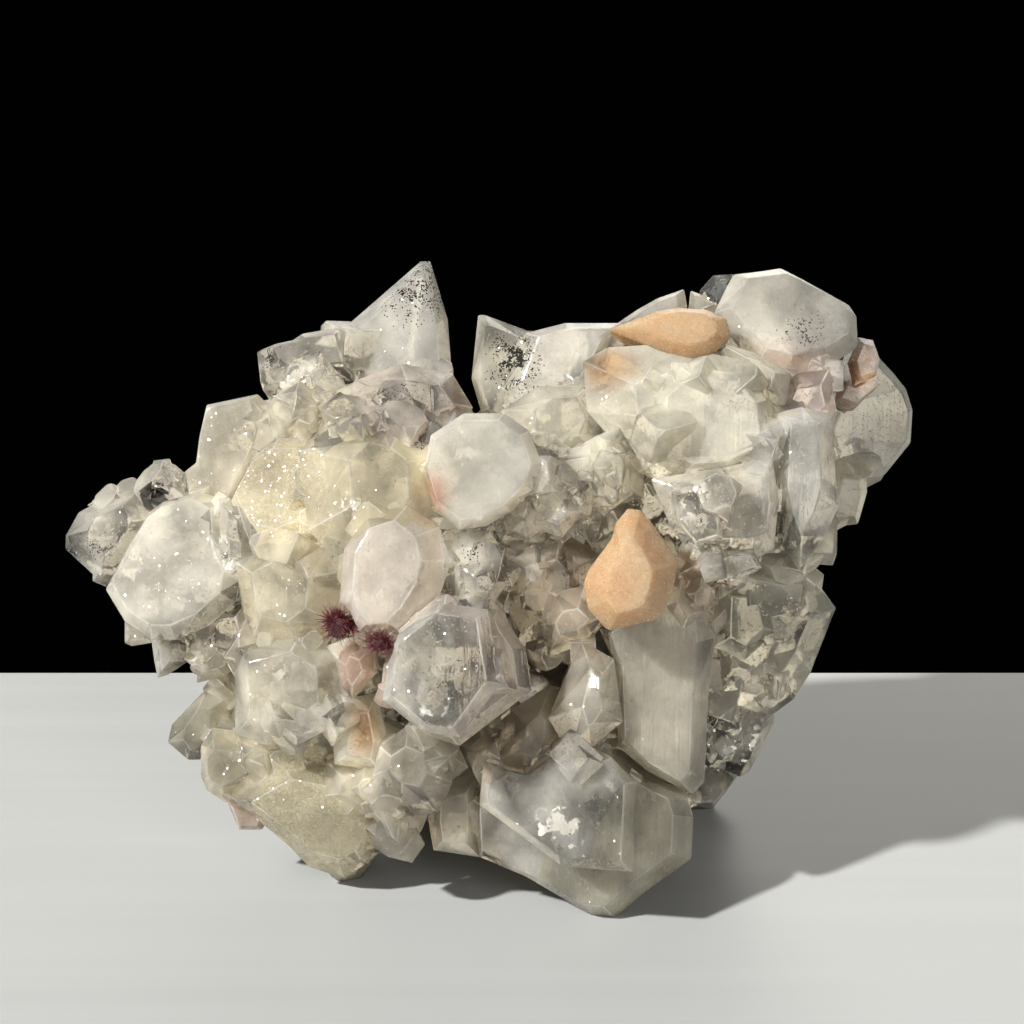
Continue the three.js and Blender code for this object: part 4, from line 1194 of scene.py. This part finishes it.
@dataclass
class NeedleTuft:
    """A tuft of fine needles that radiate from one point."""

    node: str
    centre: Triple
    radius_mm: float
    needles: int
    seed: int
    thick_mm: float = 0.09
    roots: int = 6
    spread: float = 0.4  # of the radius: how far apart the needles' roots lie
    backmost: float = -0.25  # a needle that points further back is turned round
    lengths: Pair = (0.5, 1.0)
    thicknesses: Pair = (0.6, 1.3)
    taper: float = 0.2
    heart: float = 0.34  # of the radius
    lump_mm: float = 0.4  # how wide the lumps on the tuft's heart are

    def build(self, material: bpy.types.Material) -> bpy.types.Object:
        """Make the tuft.

        Args:
            material: The needles' material.

        Returns:
            The finished piece.
        """
        draw = random.Random(self.seed)
        bm = bmesh.new()
        along = bm.verts.layers.float.new("along")
        middle = FACE.place(self.centre)
        forward = (FACE.place((0, 0, 1)) - FACE.place((0, 0, 0))).normalized()
        radius = self.radius_mm * MM
        spread = self.spread * radius
        strays = [Vector((draw.gauss(0, 1), 0, draw.gauss(0, 1))) for _ in range(self.roots)]
        for number in range(self.needles):
            way = any_way(draw).normalized()
            if way.dot(forward) < self.backmost:
                way.negate()
            root = middle + strays[number % self.roots] * 0.5 * spread
            length = (radius - spread) * draw.uniform(*self.lengths)
            thick = self.thick_mm * MM * draw.uniform(*self.thicknesses)
            turn = way.to_track_quat("Z", "Y").to_matrix().to_4x4()
            made = bmesh.ops.create_cone(
                bm,
                cap_ends=True,
                segments=5,
                radius1=thick,
                radius2=thick * self.taper,
                depth=length,
                matrix=Matrix.Translation(root + way * length / 2) @ turn,
            )
            for vert in made["verts"]:
                vert[along] = min((vert.co - middle).length / radius, 1.0)
        heart = bmesh.ops.create_icosphere(
            bm, subdivisions=2, radius=self.heart * radius, matrix=Matrix.Translation(middle)
        )
        for vert in heart["verts"]:
            vert.co += (vert.co - middle) * 0.5 * noise.noise(vert.co / (self.lump_mm * MM))
        piece = finished(self.node + "_dressed", bm, material)
        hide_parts(self.node)
        return piece


# ---- the room


@dataclass(frozen=True)
class Lamp:
    """A round lamp that shines at the cluster."""

    name: str
    place: Triple
    size: float
    watts: float
    colour: str


@dataclass(frozen=True)
class Room:
    """The table, the lights and the camera."""

    table: Pair = (1.6, 1.2)
    far_edge: float = 0.068
    thick: float = 0.03
    rounding: float = 0.002
    lamps: tuple[Lamp, ...] = (
        Lamp("key", (-1.6, -0.85, 1.55), 0.12, 80.0, "#FFFDF9"),
        Lamp("fill_front", (0.45, -1.1, 0.7), 0.8, 4.2, "#FFFDFA"),
        Lamp("back", (0.3, 0.9, 0.5), 0.8, 2.2, "#FFFCF6"),
    )
    aim: Triple = (0, 0, 0.04)
    walls: str = "#F8F3E6"
    walls_through_glass: float = 1.4
    walls_in_gloss: float = 0.85
    dark: float = 0.0004
    eye: Triple = (0.00225, -0.24059, 0.1202)
    eye_tilt_deg: float = 74.0
    lens_mm: float = 60.0
    sensor_mm: float = 36.0
    nearest: float = 0.01

    def build(self) -> None:
        """Set the table, the lights and the camera."""
        self.lay_table()
        self.hang_lamps()
        self.paint_room()
        self.limit_rays()
        self.aim_camera()

    def lay_table(self) -> None:
        """Lay a pale table top whose far edge shows behind the cluster."""
        bm = bmesh.new()
        wide, deep = self.table
        centre = Vector((0, self.far_edge - deep / 2, -self.thick / 2))
        size = Matrix.Diagonal((wide, deep, self.thick, 1))
        bmesh.ops.create_cube(bm, size=1.0, matrix=Matrix.Translation(centre) @ size)
        bevel(bm, bm.edges[:], self.rounding, segments=3)
        table = stand_in("table_top", bm)
        table.data.materials.append(PaleTable().material())

    def hang_lamps(self) -> None:
        """Hang a small key lamp at the upper left, and two wide weak ones as soft fills."""
        for lamp in self.lamps:
            data = bpy.data.lights.new(lamp.name, "AREA")
            data.shape = "DISK"
            data.size = lamp.size
            data.energy = lamp.watts
            data.color = linear(lamp.colour)[:3]
            thing = placed(lamp.name, data)
            thing.location = lamp.place
            way = Vector(self.aim) - Vector(lamp.place)
            thing.rotation_euler = way.to_track_quat("-Z", "Y").to_euler()
            thing.visible_camera = False

    def paint_room(self) -> None:
        """Make the room dark, but for the pale studio walls that show in glass and in gloss."""
        world = bpy.data.worlds.new("dark_room_with_pale_walls")
        world.use_nodes = True
        world.cycles.sampling_method = "NONE"
        tree = world.node_tree
        tree.nodes.clear()
        path = add_node(tree, "ShaderNodeLightPath")
        through, off = path.outputs["Is Transmission Ray"], path.outputs["Is Glossy Ray"]
        through = add_node(tree, MATH, {0: through, 1: self.walls_through_glass}, operation="MULTIPLY")
        off = add_node(tree, MATH, {0: off, 1: self.walls_in_gloss, 2: self.dark}, operation="MULTIPLY_ADD")
        strength = add_node(tree, MATH, {0: through, 1: off}, operation="MAXIMUM")
        walls = {"Color": linear(self.walls), "Strength": strength}
        add_node(tree, "ShaderNodeOutputWorld", {"Surface": add_node(tree, "ShaderNodeBackground", walls)})
        bpy.context.scene.world = world

    def limit_rays(self) -> None:
        """Keep the rays that matter in crystals and drop the others, so that the render stays quick."""
        bpy.context.scene.view_settings.view_transform = "Standard"
        cycles = bpy.context.scene.cycles
        cycles.caustics_reflective = False
        cycles.caustics_refractive = False
        cycles.max_bounces = 4
        cycles.diffuse_bounces = 2
        cycles.glossy_bounces = 1
        cycles.transmission_bounces = 4
        cycles.volume_bounces = 0

    def aim_camera(self) -> None:
        """Look slightly down on the cluster's show face."""
        data = bpy.data.cameras.new("camera")
        data.lens = self.lens_mm
        data.sensor_width = self.sensor_mm
        data.clip_start = self.nearest
        camera = placed("camera", data)
        camera.location = self.eye
        camera.rotation_euler = (math.radians(self.eye_tilt_deg), 0, 0)
        bpy.context.scene.camera = camera


def main() -> None:
    """Build the pieces in order and report each."""
    logging.basicConfig(level=logging.INFO, format="%(message)s")
    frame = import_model()
    nodes = frame["nodes"]

    stone = Apophyllite().material()
    peach = Stilbite().material()
    pink = Stilbite(
        name="stilbite_pink", colour="#E9CBB6", light="#F1DED0", dark="#D0A890", clear=0.45
    ).material()
    red = RedNeedles().material()

    ApophylliteCluster().build(nodes["apophyllite_cluster"], stone)
    StilbiteLens("stilbite_front", "stilbite").build(nodes["stilbite_front"], peach)
    StilbiteLens("stilbite_top", "stilbite").build(nodes["stilbite_top"], peach)
    StilbiteLens("stilbite_right", "pink_stilbite", ripple_mm=0.04).build(nodes["stilbite_right"], pink)
    NeedleTuft("red_needle_tuft_left", (-20.2, -4.4, 11.6), 4.8, 480, 3).build(red)
    NeedleTuft("red_needle_tuft_right", (-14.4, -6.2, 14.8), 3.7, 320, 4).build(red)

    Room().build()


if __name__ == "__main__":
    main()
